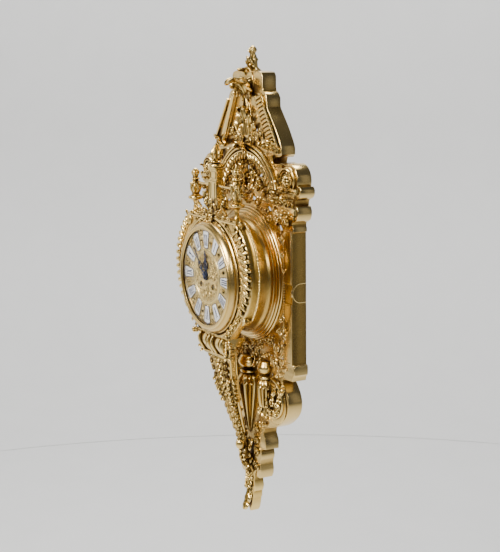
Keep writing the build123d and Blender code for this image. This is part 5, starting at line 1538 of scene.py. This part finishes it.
def backdrop():
    # floor that bends up into a wall on the side away from the camera
    look = stageLook
    low, bend = look["floorHeight"] + 0.001, look["wallBend"]
    profile = [(look["wallRadius"] - bend * (1 - math.sin(a)), low + bend * (1 - math.cos(a)))
               for a in np.linspace(0, math.pi / 2, 12)]
    profile.append((look["wallRadius"], look["wallTop"]))
    angles = np.radians(np.linspace(108, 186, 40))
    points = [(r * math.cos(a), r * math.sin(a), z) for a in angles for r, z in profile]
    row = len(profile)
    faces = [(k * row + n, (k + 1) * row + n, (k + 1) * row + n + 1, k * row + n + 1)
             for k in range(len(angles) - 1) for n in range(row - 1)]
    return points, faces


def stagePiece(name, points, faces, finish):
    mesh = bpy.data.meshes.new(name)
    mesh.from_pydata(points, [], faces)
    mesh.shade_smooth()
    piece = bpy.data.objects.new(name, mesh)
    bpy.context.scene.collection.objects.link(piece)
    piece.data.materials.append(finish)


def studio():
    half = stageLook["floorHalf"]
    pale = floorFinish()
    corners = [(x, y, stageLook["floorHeight"]) for x, y in box(-half, half, -half, half)]
    stagePiece("paleFloor", corners, [(0, 1, 2, 3)], pale)
    stagePiece("paleWall", *backdrop(), pale)
    world = bpy.data.worlds.new("studio")
    world.use_nodes = True
    world.node_tree.nodes["Background"].inputs["Color"].default_value = (*stageLook["skyColour"], 1)
    world.node_tree.nodes["Background"].inputs["Strength"].default_value = stageLook["skyStrength"]
    bpy.context.scene.world = world
    softLight("keyLight", (0.35, -2.3, 1.25), (0, -0.05, -0.3), (0.9, 0.9), 115, (1.0, 0.98, 0.94))
    softLight("fillLight", (-2.3, -1.6, 0.3), (0, -0.05, -0.35), (2.2, 2.8), 21, (1.0, 0.98, 0.96))
    softLight("cameraLight", (2.3, -1.9, 1.1), (0, -0.05, -0.3), (0.6, 0.8), 22, (1.0, 0.98, 0.95))
    softLight("sideLight", (2.5, 1.6, 0.3), (0, -0.02, -0.3), (1.0, 2.2), 1.6, (1.0, 0.97, 0.92))
    softLight("wallLight", (-1.2, 0.7, 2.9), (-2.6, 1.5, -0.6), (2.2, 2.2), 200)


cameraLook = {"azimuth": 60.163, "elevation": 9.831, "roll": -0.489, "distance": 2.2447, "lens": 86.09,
              "shift": (-0.02276, -0.0086)}


def photoCamera():
    data = bpy.data.cameras.new("photoCamera")
    data.lens = cameraLook["lens"]
    data.sensor_width = 36
    data.shift_x, data.shift_y = cameraLook["shift"]
    camera = bpy.data.objects.new("photoCamera", data)
    bpy.context.scene.collection.objects.link(camera)
    a, e = math.radians(cameraLook["azimuth"]), math.radians(cameraLook["elevation"])
    back = Vector((math.sin(a) * math.cos(e), -math.cos(a) * math.cos(e), math.sin(e)))
    camera.location = Vector((0, 0, dialHeight)) + back * cameraLook["distance"]
    turn = (-back).to_track_quat("-Z", "Y").to_matrix()
    camera.rotation_euler = (turn @ Matrix.Rotation(math.radians(cameraLook["roll"]), 3, "Z")).to_euler()
    bpy.context.scene.camera = camera


studio()
photoCamera()
print("stage: floor, lights and camera set")
